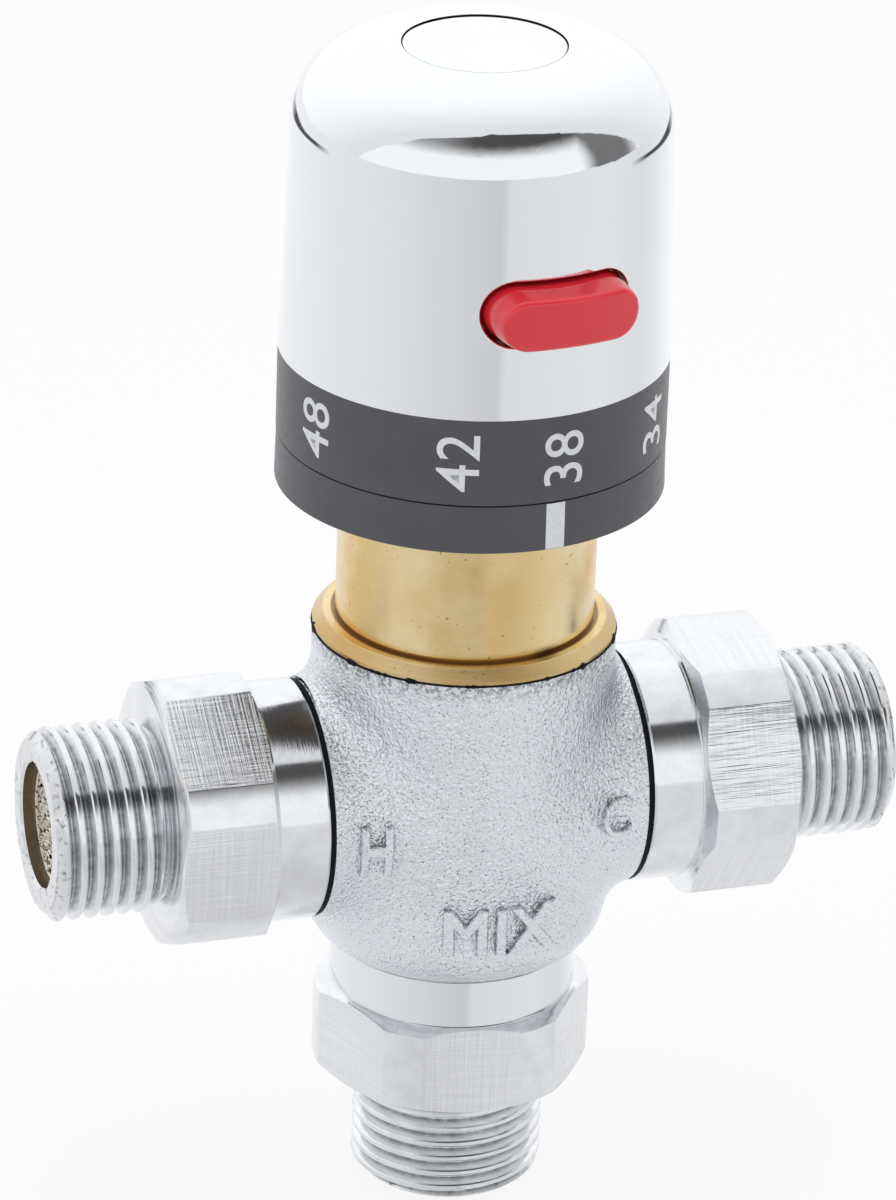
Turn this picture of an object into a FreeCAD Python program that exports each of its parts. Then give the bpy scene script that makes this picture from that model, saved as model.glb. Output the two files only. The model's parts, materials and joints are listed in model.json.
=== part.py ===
import FreeCAD, Part
import math
import os
import re

import Sketcher
from FreeCAD import Placement, Rotation, Vector

# Thermostatic mixing valve with three G 1/2 ports.
#
# Every piece is drawn in the valve's working frame: Z is the knob axis, pointing up, X runs from the
# hot port (-X) to the cold port (+X), and the two port axes cross the knob axis at height zero.
# Placements then lift everything by axis_height, so the document's origin is the centre of the
# outlet's mouth. Pieces of a port are drawn along their own Z, which points out of the port.

doc = FreeCAD.newDocument("thermostatic_mixing_valve")
sheet = doc.addObject("Spreadsheet::Sheet", "Sizes")

SIZES = [
    # pipe connections
    ("axis_height", 46.9, "outlet mouth up to the axis of the two inlets"),
    ("port_reach", 47.4, "knob axis out to the mouth of an inlet"),
    ("thread_r", 10.4775, "crest radius of the G 1/2 thread"),
    ("thread_len", 11.1, "threaded length, chamfer left out"),
    ("mouth_chamfer", 1.0, "chamfer on the first turn"),
    ("relief_r", 9.3, "undercut between thread and hexagon"),
    ("bore_r", 6.8, "waterway radius in a nipple"),
    # nipples
    ("hex_corner_r", 15.2, "radius that the hexagon's corners are turned to"),
    ("hex_flats", 28.3, "hexagon across flats"),
    ("hex_face_r", 13.75, "end face of the hexagon inside its chamfer"),
    ("hex_len", 11.0, "length of the hexagon, inlets"),
    ("outlet_hex_len", 10.5, "length of the hexagon, outlet"),
    ("hex_reach", 34.9, "knob axis out to the hexagon's outer face"),
    ("collar_r", 13.1, "turned collar between hexagon and body"),
    ("collar_edge", 0.35, "edge break on the collar"),
    ("hot_hex_turn", 4.3, "where the hot hexagon stopped when tightened"),
    ("cold_hex_turn", 36.8, "where the cold hexagon stopped"),
    ("outlet_hex_turn", 7.2, "where the outlet hexagon stopped"),
    ("spigot_len", 3.9, "part of a nipple inside the body"),
    ("outlet_spigot_len", 6.9, "part of the outlet nipple inside the body"),
    # cast body
    ("barrel_r", 16.4, "outside radius of the barrel"),
    ("barrel_top", 19.0, "height of the barrel above the port axis"),
    ("shoulder_h", 2.0, "height of the slope from the barrel to the turned band"),
    ("band_drop", 17.9, "depth at which the turned band starts"),
    ("band_r", 13.54, "radius of the turned band at the outlet"),
    ("body_drop", 23.3, "depth of the body's lower face"),
    ("boss_r", 12.9, "port boss at its face"),
    ("boss_root_r", 13.3, "port boss inside the barrel"),
    ("boss_root", 9.0, "distance of that root from the knob axis"),
    ("boss_proud", 1.2, "how far a port's face stands out beyond the barrel"),
    ("blend_r", 1.0, "fillet between boss and barrel"),
    ("shoulder_blend", 5.0, "rounding of the lower shoulder"),
    ("top_bore_r", 13.2, "bore that takes the bonnet"),
    ("top_bore_floor", 11.0, "ledge that the cartridge hangs on"),
    ("guide_bore_r", 11.4, "bore above the cold gallery"),
    ("gallery_r", 12.0, "ring-shaped water galleries"),
    ("gallery_near", 2.2, "edge of a gallery nearest the port axis"),
    ("gallery_far", 7.5, "edge of a gallery farthest from it"),
    ("land_r", 9.6, "lands that the cartridge seals in"),
    ("port_bore_r", 10.3, "socket for a nipple"),
    ("port_floor", 13.6, "floor of an inlet's socket"),
    ("outlet_floor", 16.0, "depth of the outlet's socket floor"),
    ("passage_w", 10.0, "width of the passage from a socket to its gallery"),
    ("passage_edge", 0.4, "rim left between passage and gallery edge"),
    # bonnet and index ring
    ("bonnet_gap", 0.05, "fit of the bonnet in the body"),
    ("flange_h", 1.6, "bonnet flange"),
    ("flange_low_r", 16.4, "flange radius at the body"),
    ("flange_edge_h", 0.5, "upright edge of the flange under its chamfer"),
    ("flange_top_r", 15.3, "flat top of the flange inside its chamfer"),
    ("neck_r", 13.95, "bonnet neck"),
    ("neck_len", 15.9, "neck from flange to index ring"),
    ("bonnet_bore_r", 10.4, "bore for the adjuster"),
    ("bonnet_roof", 3.1, "thickness above that bore"),
    ("index_boss_r", 8.0, "boss that carries the index ring"),
    ("index_boss_h", 4.5, "height of that boss"),
    ("keyway_w", 2.2, "keyway in the boss"),
    ("keyway_depth", 0.9, "its depth"),
    ("lug_groove_r", 11.7, "grooves that keep the adjuster from turning"),
    ("lug_groove_w", 3.2, "their width"),
    ("index_inset", 0.06, "index ring inside the dial above it"),
    ("index_draft", 0.11, "how much wider the index ring is at its lower edge"),
    ("index_h", 5.2, "height of the index ring"),
    ("index_wall", 2.1, "its wall"),
    ("index_web", 1.8, "its floor"),
    ("ring_gap", 0.2, "running gap under the dial"),
    ("stop_h", 2.4, "height of the stop lug"),
    ("stop_depth", 2.25, "depth of the stop lug, in from the wall"),
    ("stop_w", 4.6, "width of the stop lug"),
    # spindle
    ("spindle_r", 5.0, "journal and thread of the spindle"),
    ("running_gap", 0.05, "running fit of turning and sliding pieces"),
    ("spindle_low", 21.5, "lower end of the spindle"),
    ("thrust_r", 7.6, "thrust collar"),
    ("thrust_h", 1.3, "its thickness"),
    ("thrust_gap", 0.2, "play above the thrust collar"),
    ("clip_h", 0.8, "retaining clip"),
    ("clip_r", 7.2, "its outer radius"),
    ("clip_groove_r", 4.2, "groove for the clip"),
    ("clip_room", 1.0, "room between the clip and the knob's hub"),
    ("spline_r", 4.2, "splined head, between the teeth"),
    ("tooth_h", 0.6, "height of a tooth"),
    ("tooth_w", 1.1, "width of a tooth"),
    ("tooth_count", 12, "number of teeth"),
    ("spline_len", 13.5, "length of the splined head"),
    ("screw_r", 2.0, "knob screw"),
    ("screw_len", 11.0, "its length below the head"),
    ("screw_head_r", 3.6, "its head"),
    ("screw_head_h", 2.2, "height of the head"),
    ("tapping_depth", 12.0, "tapped hole in the spindle"),
    # knob
    ("dial_h", 9.6, "height of the numbered skirt"),
    ("dial_inset", 0.06, "skirt inside the chrome shell above it"),
    ("dial_wall", 2.0, "its wall"),
    ("dial_web", 1.6, "floor between skirt and hub"),
    ("hub_r", 7.6, "hub of the dial"),
    ("hub_roof", 2.4, "hub above the spindle"),
    ("rim_h", 2.6, "rim that the shell is pushed over"),
    ("rim_wall", 1.5, "its wall"),
    ("knob_r", 20.86, "chrome shell at its lower edge"),
    ("knob_taper", 0.73, "how much narrower the shell is where the crown starts"),
    ("knob_side_h", 25.9, "height of the shell's side"),
    ("knob_h", 33.75, "height of the whole shell"),
    ("crown_fall", 1.0, "fall of the crown from cap to corner"),
    ("crown_round", 8.5, "rounding of the crown"),
    ("shell_wall", 1.6, "wall of the shell"),
    ("cap_r", 8.6, "cap in the crown"),
    ("cap_gap", 0.1, "groove line around the cap"),
    ("cap_sink", 0.15, "cap below the crown"),
    ("cap_h", 0.8, "thickness of the cap"),
    ("cap_skirt_r", 7.3, "skirt that holds the cap"),
    ("cap_skirt_h", 4.0, "its length"),
    ("cap_skirt_wall", 0.9, "its wall"),
    # safety button
    ("mark_angle", 7.8, "direction of index mark and button, from the front towards the cold port"),
    ("button_w", 15.9, "button, across"),
    ("button_h", 6.2, "button, height"),
    ("button_level", 11.6, "middle of the button above the shell's lower edge"),
    ("button_proud", 3.1, "outer face of the button beyond the shell"),
    ("button_draft", 6.0, "angle by which its sides draw in outside the window"),
    ("plate_w", 18.6, "retaining plate, across"),
    ("plate_h", 8.8, "retaining plate, height"),
    ("plate_t", 1.5, "retaining plate, thickness"),
    ("plate_gap", 0.3, "plate to the inside of the shell"),
    ("window_gap", 0.5, "gap between button and window"),
    ("window_round", 0.2, "rounding of the window's outer edge"),
    ("button_round", 0.6, "rounding round the button's face"),
    ("press_travel", 2.4, "how far the button goes in"),
    ("catch_w", 5.0, "catch that meets the stop lug"),
    ("catch_t", 2.0, "its thickness"),
    ("catch_gap", 0.3, "catch over the stop lug and inside the skirt"),
    ("guide_t", 1.2, "ribs beside the catch"),
    ("guide_h", 5.0, "their height"),
    # adjuster
    ("adjuster_r", 8.6, "outside of the adjuster"),
    ("adjuster_wall", 2.0, "wall round the overload spring"),
    ("adjuster_low", 15.0, "lower edge of the adjuster"),
    ("adjuster_nut", 24.0, "underside of its nut"),
    ("adjuster_nut_h", 6.5, "height of its nut"),
    ("lug_r", 11.4, "lugs that run in the bonnet"),
    ("lug_w", 2.8, "their width"),
    ("lug_h", 4.0, "their height"),
    ("ring_h", 0.7, "snap ring under the pusher"),
    ("ring_inset", 0.5, "depth of its groove"),
    ("ring_w", 1.6, "width of the snap ring"),
    ("ring_edge", 0.3, "edge of the adjuster below the snap ring"),
    ("pusher_h", 1.3, "pusher on the piston"),
    ("pusher_gap", 0.15, "pusher inside the adjuster"),
    ("pusher_nose_r", 2.2, "nose of the pusher"),
    ("pusher_nose_h", 0.5, "its height"),
    # thermostatic element and shuttle
    ("shuttle_r", 8.0, "outside of the shuttle"),
    ("shuttle_wall", 1.4, "wall of the shuttle"),
    ("shuttle_h", 10.8, "height of the shuttle"),
    ("seat_gap", 1.4, "open gap at either seat"),
    ("seat_lip", 0.3, "how far the seats stand outside the shuttle's bore"),
    ("spider_h", 3.0, "spokes of the shuttle"),
    ("spider_hub_r", 3.7, "hub of the spokes"),
    ("spoke_w", 1.6, "width of a spoke"),
    ("element_r", 3.4, "wax bulb"),
    ("element_h", 11.5, "length of the bulb"),
    ("element_neck_r", 2.6, "neck in the shuttle's hub"),
    ("element_guide_r", 2.2, "guide above the shuttle"),
    ("element_guide_h", 5.5, "its height"),
    ("piston_r", 1.0, "piston of the element"),
    ("piston_depth", 2.5, "piston inside the bulb"),
    # cartridge
    ("cage_gap", 0.05, "fit of the cage in its lands"),
    ("cage_flange_r", 12.9, "flange on the ledge"),
    ("cage_flange_h", 1.5, "its thickness"),
    ("cage_low", 15.2, "depth of the cage's lower end"),
    ("cage_floor", 1.0, "ring under the return spring"),
    ("cage_floor_r", 5.0, "hole in that ring"),
    ("window_w", 6.0, "width of a window"),
    ("window_edge", 0.6, "window to the gallery's edge"),
    ("window_count", 4, "windows round each gallery"),
    ("seat_ring_flange_r", 10.0, "flange of the cold seat"),
    ("seat_ring_flange_h", 1.0, "its thickness"),
    # O-rings: half of the section, and how deep their grooves are
    ("cord_r", 0.5, "section of the static O-rings"),
    ("small_cord_r", 0.36, "section of the shuttle's O-ring"),
    ("seal_squeeze", 0.03, "gap between a ring and its groove's floor"),
    ("gasket_h", 0.5, "black ring between a nipple and the body"),
    ("gasket_in_r", 10.4, "its inner radius"),
    # check valves and strainers
    ("check_r", 7.5, "cage of a check valve"),
    ("check_bore_r", 7.55, "pocket for it in the nipple"),
    ("check_in", 15.5, "inner end of the cage"),
    ("check_len", 13.5, "length of the cage"),
    ("check_wall", 1.0, "its wall"),
    ("check_seat_h", 1.6, "seat ring"),
    ("check_seat_r", 4.2, "hole in the seat"),
    ("check_guide_r", 2.6, "stem guide"),
    ("check_guide_h", 2.6, "its height"),
    ("check_spoke_w", 1.5, "spokes of the guide"),
    ("poppet_r", 5.2, "head of the poppet"),
    ("poppet_h", 1.4, "its thickness"),
    ("poppet_gap", 0.1, "head to seat when shut"),
    ("stem_r", 1.4, "stem of the poppet"),
    ("stem_end", 16.4, "inner end of the stem"),
    ("strainer_depth", 1.6, "strainer below the mouth"),
    ("strainer_h", 0.6, "its thickness"),
    ("strainer_gap", 0.03, "its fit in the bore"),
    ("strainer_hole", 1.1, "side of an opening"),
    ("strainer_pitch", 1.7, "spacing of the rings of openings"),
    # springs: wire radius, coil radius and turns
    ("return_wire", 0.5, "return spring, wire radius"),
    ("return_coil", 5.7, "return spring, coil radius"),
    ("return_turns", 4, "return spring, turns"),
    ("overload_wire", 0.5, "overload spring, wire radius"),
    ("overload_coil", 5.85, "overload spring, coil radius"),
    ("overload_turns", 4, "overload spring, turns"),
    ("check_wire", 0.25, "check spring, wire radius"),
    ("check_coil", 3.3, "check spring, coil radius"),
    ("check_turns", 4, "check spring, turns"),
    ("button_wire", 0.25, "button spring, wire radius"),
    ("button_coil", 2.2, "button spring, coil radius"),
    ("button_turns", 4, "button spring, turns"),
]

for row, (alias, value, note) in enumerate(SIZES, start=1):
    sheet.set("A%d" % row, note)
    sheet.set("B%d" % row, str(value))
    sheet.setAlias("B%d" % row, alias)
doc.recompute()

# Levels that follow from the sizes. They are written as formulas, so the document stays tied to the
# sheet wherever one of these names is used.
LEVELS = {
    "face_reach": "barrel_r + boss_proud",
    "hex_root": "hex_reach - hex_len",
    "collar_reach": "face_reach + gasket_h",
    "outlet_hex_reach": "body_drop + outlet_hex_len",
    "nipple_r": "port_bore_r - bonnet_gap",
    "hex_chamfer": "(hex_corner_r - hex_face_r) * 0.577",
    "thread_root": "port_reach - mouth_chamfer - thread_len",
    "outlet_thread_root": "axis_height - mouth_chamfer - thread_len",
    "shoulder_drop": "band_drop - shoulder_h",
    "flange_edge_top": "barrel_top + flange_edge_h",
    "flange_top": "barrel_top + flange_h",
    "neck_top": "flange_top + neck_len",
    "boss_top": "neck_top + index_boss_h",
    "roof_low": "neck_top - bonnet_roof",
    "cage_top": "top_bore_floor + cage_flange_h",
    "index_top": "neck_top + index_h",
    "dial_r": "knob_r - dial_inset",
    "index_top_r": "dial_r - index_inset",
    "index_r": "index_top_r + index_draft",
    "stop_in_r": "index_r - index_wall - stop_depth",
    "thrust_top": "roof_low - thrust_gap",
    "thrust_low": "thrust_top - thrust_h",
    "clip_low": "boss_top + ring_gap",
    "clip_top": "clip_low + clip_h",
    "spline_top": "clip_top + spline_len",
    "dial_low": "index_top + ring_gap",
    "dial_top": "dial_low + dial_h",
    "hub_low": "clip_top + clip_room",
    "hub_top": "spline_top + ring_gap + hub_roof",
    "rim_r": "knob_r - shell_wall - bonnet_gap - (knob_r - knob_shoulder_r) * rim_h / knob_side_h",
    "knob_top": "dial_top + knob_h",
    "knob_shoulder_r": "knob_r - knob_taper",
    "button_r": "knob_r + button_proud",
    "knob_shoulder": "dial_top + knob_side_h",
    "crown_mid_r": "knob_shoulder_r - crown_round",
    "crown_slope": "crown_fall / (knob_shoulder_r - cap_r)",
    "crown_mid": "knob_top - crown_slope * (crown_mid_r - cap_r) - crown_round * 1.004",
    "hollow_round": "crown_round - shell_wall",
    "button_mid": "dial_top + button_level",
    "shell_at_button": "knob_r - (knob_r - knob_shoulder_r) * button_level / knob_side_h",
    "plate_r": "shell_at_button - shell_wall - plate_gap",
    "button_back": "sqrt(plate_r^2 - (plate_w / 2)^2) - plate_t",
    "catch_r": "sqrt((index_r - index_wall - catch_gap)^2 - (catch_w / 2)^2)",
    "catch_low": "neck_top + index_web + stop_h + catch_gap",
    "cap_ledge": "knob_top - cap_sink - cap_h",
    "nut_top": "adjuster_nut + adjuster_nut_h",
    "spring_r": "adjuster_r - adjuster_wall",
    "ring_low": "adjuster_low + ring_edge",
    "ring_top": "ring_low + ring_h",
    "pusher_top": "ring_top + pusher_h",
    "pusher_low": "ring_top - pusher_nose_h",
    "hot_seat": "0 - shuttle_h / 2 - seat_gap",
    "cold_seat": "shuttle_h / 2 + seat_gap",
    "cage_r": "land_r - cage_gap",
    "cage_bore_r": "shuttle_r + running_gap",
    "seat_in_r": "shuttle_r - shuttle_wall + seat_lip",
    "check_out": "check_in + check_len",
    "check_seat": "check_out - check_seat_h",
    "poppet_face": "check_seat - poppet_gap",
    "poppet_back": "poppet_face - poppet_h",
    "spring_seat": "check_in + check_guide_h",
    "strainer_top": "port_reach - strainer_depth",
    "strainer_r": "bore_r - strainer_gap",
}
ALIASES = {alias for alias, value, note in SIZES}


def formula(text):
    """Write a formula in sheet names as an expression of the document."""
    def expand(match):
        name = match.group(0)
        if name in LEVELS:
            return "(" + formula(LEVELS[name]) + ")"
        if name in ALIASES:
            return "Sizes." + name
        return name
    return re.sub(r"[a-z_][a-z_0-9]*", expand, str(text))


def number(text):
    """The present value of a formula."""
    value = sheet.evalExpression(formula(text))
    return float(getattr(value, "Value", value))


PIECES = []

# A port's pieces are drawn along +Z and then turned to point out of the port.
UPRIGHT = Rotation()
HOT = Rotation(Vector(0, 1, 0), -90)
COLD = Rotation(Vector(0, 1, 0), 90)
OUTLET = Rotation(Vector(1, 0, 0), 180)


def place(obj, label, rotation=UPRIGHT):
    """Name a finished piece, turn it to its direction and lift it to the port axis."""
    obj.Label = label
    obj.Placement = Placement(Vector(0, 0, 0), rotation)
    obj.setExpression("Placement.Base.z", formula("axis_height"))
    PIECES.append(obj)


def new_body(label, rotation=UPRIGHT):
    body = doc.addObject("PartDesign::Body", label)
    place(body, label, rotation)
    return body


def toward_mark():
    """Turn a knob piece so that its own +X points at the index mark."""
    return Rotation(Vector(0, 0, 1), number("mark_angle") - 90)


def sketch_on(body, name, role, offset=None):
    sketch = body.newObject("Sketcher::SketchObject", name)
    plane = [item for item in body.Origin.OriginFeatures if item.Role == role][0]
    sketch.AttachmentSupport = [(plane, "")]
    sketch.MapMode = "FlatFace"
    if offset is not None:
        sketch.setExpression("AttachmentOffset.Base.z", formula(offset))
    return sketch


def fix_point(sketch, index, x, y):
    """Hold the start of a sketch line at (x, y), both given as formulas."""
    for kind, text, axis in (("DistanceX", x, -2), ("DistanceY", y, -1)):
        if number(text) == 0.0 and text == "0":
            sketch.addConstraint(Sketcher.Constraint("PointOnObject", index, 1, axis))
            continue
        row = sketch.addConstraint(Sketcher.Constraint(kind, -1, 1, index, 1, number(text)))
        sketch.setExpression("Constraints[%d]" % row, formula(text))


def add_outline(sketch, points):
    """Draw a closed outline through points given as pairs of formulas."""
    first = sketch.GeometryCount
    count = len(points)
    spots = [Vector(number(x), number(y), 0) for x, y in points]
    for i in range(count):
        sketch.addGeometry(Part.LineSegment(spots[i], spots[(i + 1) % count]), False)
    for i in range(count):
        follower = first + (i + 1) % count
        sketch.addConstraint(Sketcher.Constraint("Coincident", first + i, 2, follower, 1))
    for i, (x, y) in enumerate(points):
        fix_point(sketch, first + i, x, y)


def add_circle(sketch, radius, x="0", y="0"):
    """Draw a circle of a given radius about (x, y)."""
    circle = Part.Circle(Vector(number(x), number(y), 0), Vector(0, 0, 1), number(radius))
    index = sketch.addGeometry(circle, False)
    for kind, text, axis in (("DistanceX", x, -2), ("DistanceY", y, -1)):
        if text == "0":
            sketch.addConstraint(Sketcher.Constraint("PointOnObject", index, 3, axis))
            continue
        row = sketch.addConstraint(Sketcher.Constraint(kind, -1, 1, index, 3, number(text)))
        sketch.setExpression("Constraints[%d]" % row, formula(text))
    row = sketch.addConstraint(Sketcher.Constraint("Radius", index, number(radius)))
    sketch.setExpression("Constraints[%d]" % row, formula(radius))


def add_rectangle(sketch, x_low, x_high, y_low, y_high):
    add_outline(sketch, [(x_low, y_low), (x_high, y_low), (x_high, y_high), (x_low, y_high)])


def add_racetrack(sketch, width, height, level):
    """Draw a slot with round ends, centred on x = 0 at the given level."""
    half = "(%s) / 2 - (%s) / 2" % (width, height)
    low = "(%s) - (%s) / 2" % (level, height)
    high = "(%s) + (%s) / 2" % (level, height)
    left = -number(half)
    right = number(half)
    radius = number(height) / 2
    middle = number(level)
    quarter = math.pi / 2
    end = Part.Circle(Vector(right, middle, 0), Vector(0, 0, 1), radius)
    start = Part.Circle(Vector(left, middle, 0), Vector(0, 0, 1), radius)
    low_line = Part.LineSegment(Vector(left, number(low), 0), Vector(right, number(low), 0))
    high_line = Part.LineSegment(Vector(right, number(high), 0), Vector(left, number(high), 0))
    sketch.addGeometry(low_line, False)
    sketch.addGeometry(Part.ArcOfCircle(end, -quarter, quarter), False)
    sketch.addGeometry(high_line, False)
    sketch.addGeometry(Part.ArcOfCircle(start, quarter, 3 * quarter), False)
    for first, first_end, second, second_end in ((0, 2, 1, 1), (1, 2, 2, 1), (2, 2, 3, 1), (3, 2, 0, 1)):
        sketch.addConstraint(Sketcher.Constraint("Tangent", first, first_end, second, second_end))
    for index, x, y in ((1, half, level), (3, "0 - (%s)" % half, level)):
        for kind, text in (("DistanceX", x), ("DistanceY", y)):
            row = sketch.addConstraint(Sketcher.Constraint(kind, -1, 1, index, 3, number(text)))
            sketch.setExpression("Constraints[%d]" % row, formula(text))
    row = sketch.addConstraint(Sketcher.Constraint("Radius", 1, radius))
    sketch.setExpression("Constraints[%d]" % row, formula("(%s) / 2" % height))


def add_hexagon(sketch, flats):
    """Draw a hexagon of a given width across flats, one corner on +X."""
    points = []
    for step in range(6):
        x = "(%s) / sqrt(3) * cos(%d deg)" % (flats, 60 * step)
        y = "(%s) / sqrt(3) * sin(%d deg)" % (flats, 60 * step)
        points.append((x, y if step % 3 else "0"))
    add_outline(sketch, points)


def feature(body, kind, name, sketch):
    made = body.newObject("PartDesign::" + kind, name)
    made.Profile = sketch
    sketch.Visibility = False
    return made


def turn(body, name, points, kind="Revolution", axis="V_Axis", role="XZ_Plane"):
    """Revolve an outline of (radius, height) pairs, as metal or, with kind Groove, as a cut."""
    sketch = sketch_on(body, name + "_outline", role)
    add_outline(sketch, points)
    made = feature(body, kind, name, sketch)
    made.ReferenceAxis = (sketch, [axis])
    made.Angle = 360
    return made


def extrude(body, name, sketch, length, kind="Pad", reverse=False):
    made = feature(body, kind, name, sketch)
    made.setExpression("Length", formula(length))
    made.Reversed = reverse
    return made


def repeat_round(body, name, source, sketch, count):
    """Repeat a feature evenly round the Z axis."""
    pattern = body.newObject("PartDesign::PolarPattern", name)
    pattern.Originals = [source]
    pattern.Axis = (sketch, ["N_Axis"])
    pattern.Angle = 360
    pattern.setExpression("Occurrences", formula(count))
    body.Tip = pattern
    return pattern


def round_edges(body, name, base, chosen, radius):
    """Fillet the edges of base for which chosen(edge) is true."""
    doc.recompute()
    names = ["Edge%d" % (i + 1) for i, edge in enumerate(base.Shape.Edges) if chosen(edge)]
    fillet = body.newObject("PartDesign::Fillet", name)
    fillet.Base = (base, names)
    fillet.setExpression("Radius", formula(radius))
    return fillet


def on_circle(radius, height):
    """Pick the circular edge of a given radius about Z at a given height."""
    def chosen(edge):
        curve = edge.Curve
        if curve.TypeId != "Part::GeomCircle":
            return False
        same_radius = abs(curve.Radius - number(radius)) < 0.01
        return same_radius and abs(curve.Center.z - number(height)) < 0.01
    return chosen


def on_wall(low_r, high_r, low, high):
    """Pick the edges that lie between two radii about Z and between two heights."""
    def chosen(edge):
        inside = []
        for point in edge.discretize(5):
            radius = math.hypot(point.x, point.y)
            inside.append(number(low_r) - 0.01 < radius < number(high_r) + 0.01
                          and number(low) - 0.01 < point.z < number(high) + 0.01)
        return all(inside)
    return chosen


def ring_groove(body, name, groove_r, open_r, low, high):
    """Cut a rectangular O-ring groove from the outside of a turned piece."""
    points = [(groove_r, low), (open_r, low), (open_r, high), (groove_r, high)]
    return turn(body, name, points, "Groove")


def o_ring(label, floor_r, cord, level, rotation=UPRIGHT):
    """An O-ring that lies in a groove with the given floor radius."""
    ring = doc.addObject("Part::Torus", label)
    ring.setExpression("Radius1", formula("%s + seal_squeeze + %s" % (floor_r, cord)))
    ring.setExpression("Radius2", formula(cord))
    place(ring, label, rotation)
    turned_level = rotation.multVec(Vector(0, 0, 1))
    if rotation is UPRIGHT:
        ring.setExpression("Placement.Base.z", formula("axis_height + (%s)" % level))
    elif abs(turned_level.x) > 0.5:
        ring.setExpression("Placement.Base.x", formula("%d * (%s)" % (round(turned_level.x), level)))
    else:
        ring.setExpression("Placement.Base.z", formula("axis_height - (%s)" % level))
    return ring


def coil_spring(label, wire, coil, turns, low, high, rotation=UPRIGHT, offset=Vector(0, 0, 0)):
    """A compression spring between two faces, swept along a helix and held by a thin end gap."""
    gap = 0.1
    wire_r = number(wire)
    coil_r = number(coil)
    start = number(low) + gap + wire_r
    length = number(high) - gap - wire_r - start
    helix = Part.makeHelix(length / number(turns), length, coil_r)
    corners = []
    for step in range(5):
        angle = 2 * math.pi * step / 5
        corners.append(Vector(coil_r + wire_r * math.cos(angle), 0, wire_r * math.sin(angle)))
    section = Part.makePolygon(corners + [corners[0]])
    shape = Part.Wire(helix).makePipeShell([section], True, True)
    spring = doc.addObject("Part::Feature", label)
    spring.Shape = shape
    spring.Label = label
    foot = Vector(0, 0, number("axis_height")) + offset + rotation.multVec(Vector(0, 0, start))
    spring.Placement = Placement(foot, rotation)
    PIECES.append(spring)
    return spring


# ---------------------------------------------------------------------------------------------
# Cast body: a barrel with two bosses, bored from above, from both sides and from below
# ---------------------------------------------------------------------------------------------
valve_body = new_body("valve_body")
barrel = turn(valve_body, "barrel", [
    ("0", "0 - body_drop"),
    ("band_r", "0 - body_drop"),
    ("band_r", "0 - band_drop"),
    ("barrel_r", "0 - shoulder_drop"),
    ("barrel_r", "barrel_top"),
    ("0", "barrel_top"),
])
round_edges(valve_body, "shoulder", barrel, on_circle("barrel_r", "0 - shoulder_drop"),
            "shoulder_blend")
bosses = turn(valve_body, "bosses", [
    ("0 - face_reach", "0"),
    ("0 - face_reach", "boss_r"),
    ("0 - boss_root", "boss_root_r"),
    ("boss_root", "boss_root_r"),
    ("face_reach", "boss_r"),
    ("face_reach", "0"),
], axis="H_Axis")


def where_boss_meets_barrel(edge):
    return edge.Curve.TypeId not in ("Part::GeomLine", "Part::GeomCircle")


round_edges(valve_body, "boss_blend", bosses, where_boss_meets_barrel, "blend_r")

# The stepped bore: bonnet, guide above the cold gallery, two galleries and the lands beside them.
turn(valve_body, "main_bore", [
    ("0", "0 - outlet_floor"),
    ("land_r", "0 - outlet_floor"),
    ("land_r", "0 - gallery_far"),
    ("gallery_r", "0 - gallery_far"),
    ("gallery_r", "0 - gallery_near"),
    ("land_r", "0 - gallery_near"),
    ("land_r", "gallery_near"),
    ("gallery_r", "gallery_near"),
    ("gallery_r", "gallery_far"),
    ("guide_bore_r", "gallery_far"),
    ("guide_bore_r", "top_bore_floor"),
    ("top_bore_r", "top_bore_floor"),
    ("top_bore_r", "barrel_top"),
    ("0", "barrel_top"),
], "Groove")
turn(valve_body, "outlet_socket", [
    ("0", "0 - body_drop"),
    ("port_bore_r", "0 - body_drop"),
    ("port_bore_r", "0 - outlet_floor"),
    ("0", "0 - outlet_floor"),
], "Groove")
for side, sign in (("hot", "0 - "), ("cold", "0 + ")):
    turn(valve_body, side + "_socket", [
        (sign + "face_reach", "0"),
        (sign + "face_reach", "port_bore_r"),
        (sign + "port_floor", "port_bore_r"),
        (sign + "port_floor", "0"),
    ], "Groove", "H_Axis")

# Each socket opens into one gallery only: the hot one below the axis, the cold one above it.
for side, role_sign in (("hot", -1), ("cold", 1)):
    passage = sketch_on(valve_body, side + "_passage_outline", "YZ_Plane")
    near = "%d * (gallery_near + passage_edge)" % role_sign
    far = "%d * (gallery_far - passage_edge)" % role_sign
    add_rectangle(passage, "0 - passage_w / 2", "passage_w / 2", near, far)
    extrude(valve_body, side + "_passage", passage, "port_floor + 0.5", "Pocket", role_sign > 0)

# ---------------------------------------------------------------------------------------------
# Nipples: spigot, collar, hexagon and threaded end turned and milled from one bar
# ---------------------------------------------------------------------------------------------


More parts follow.
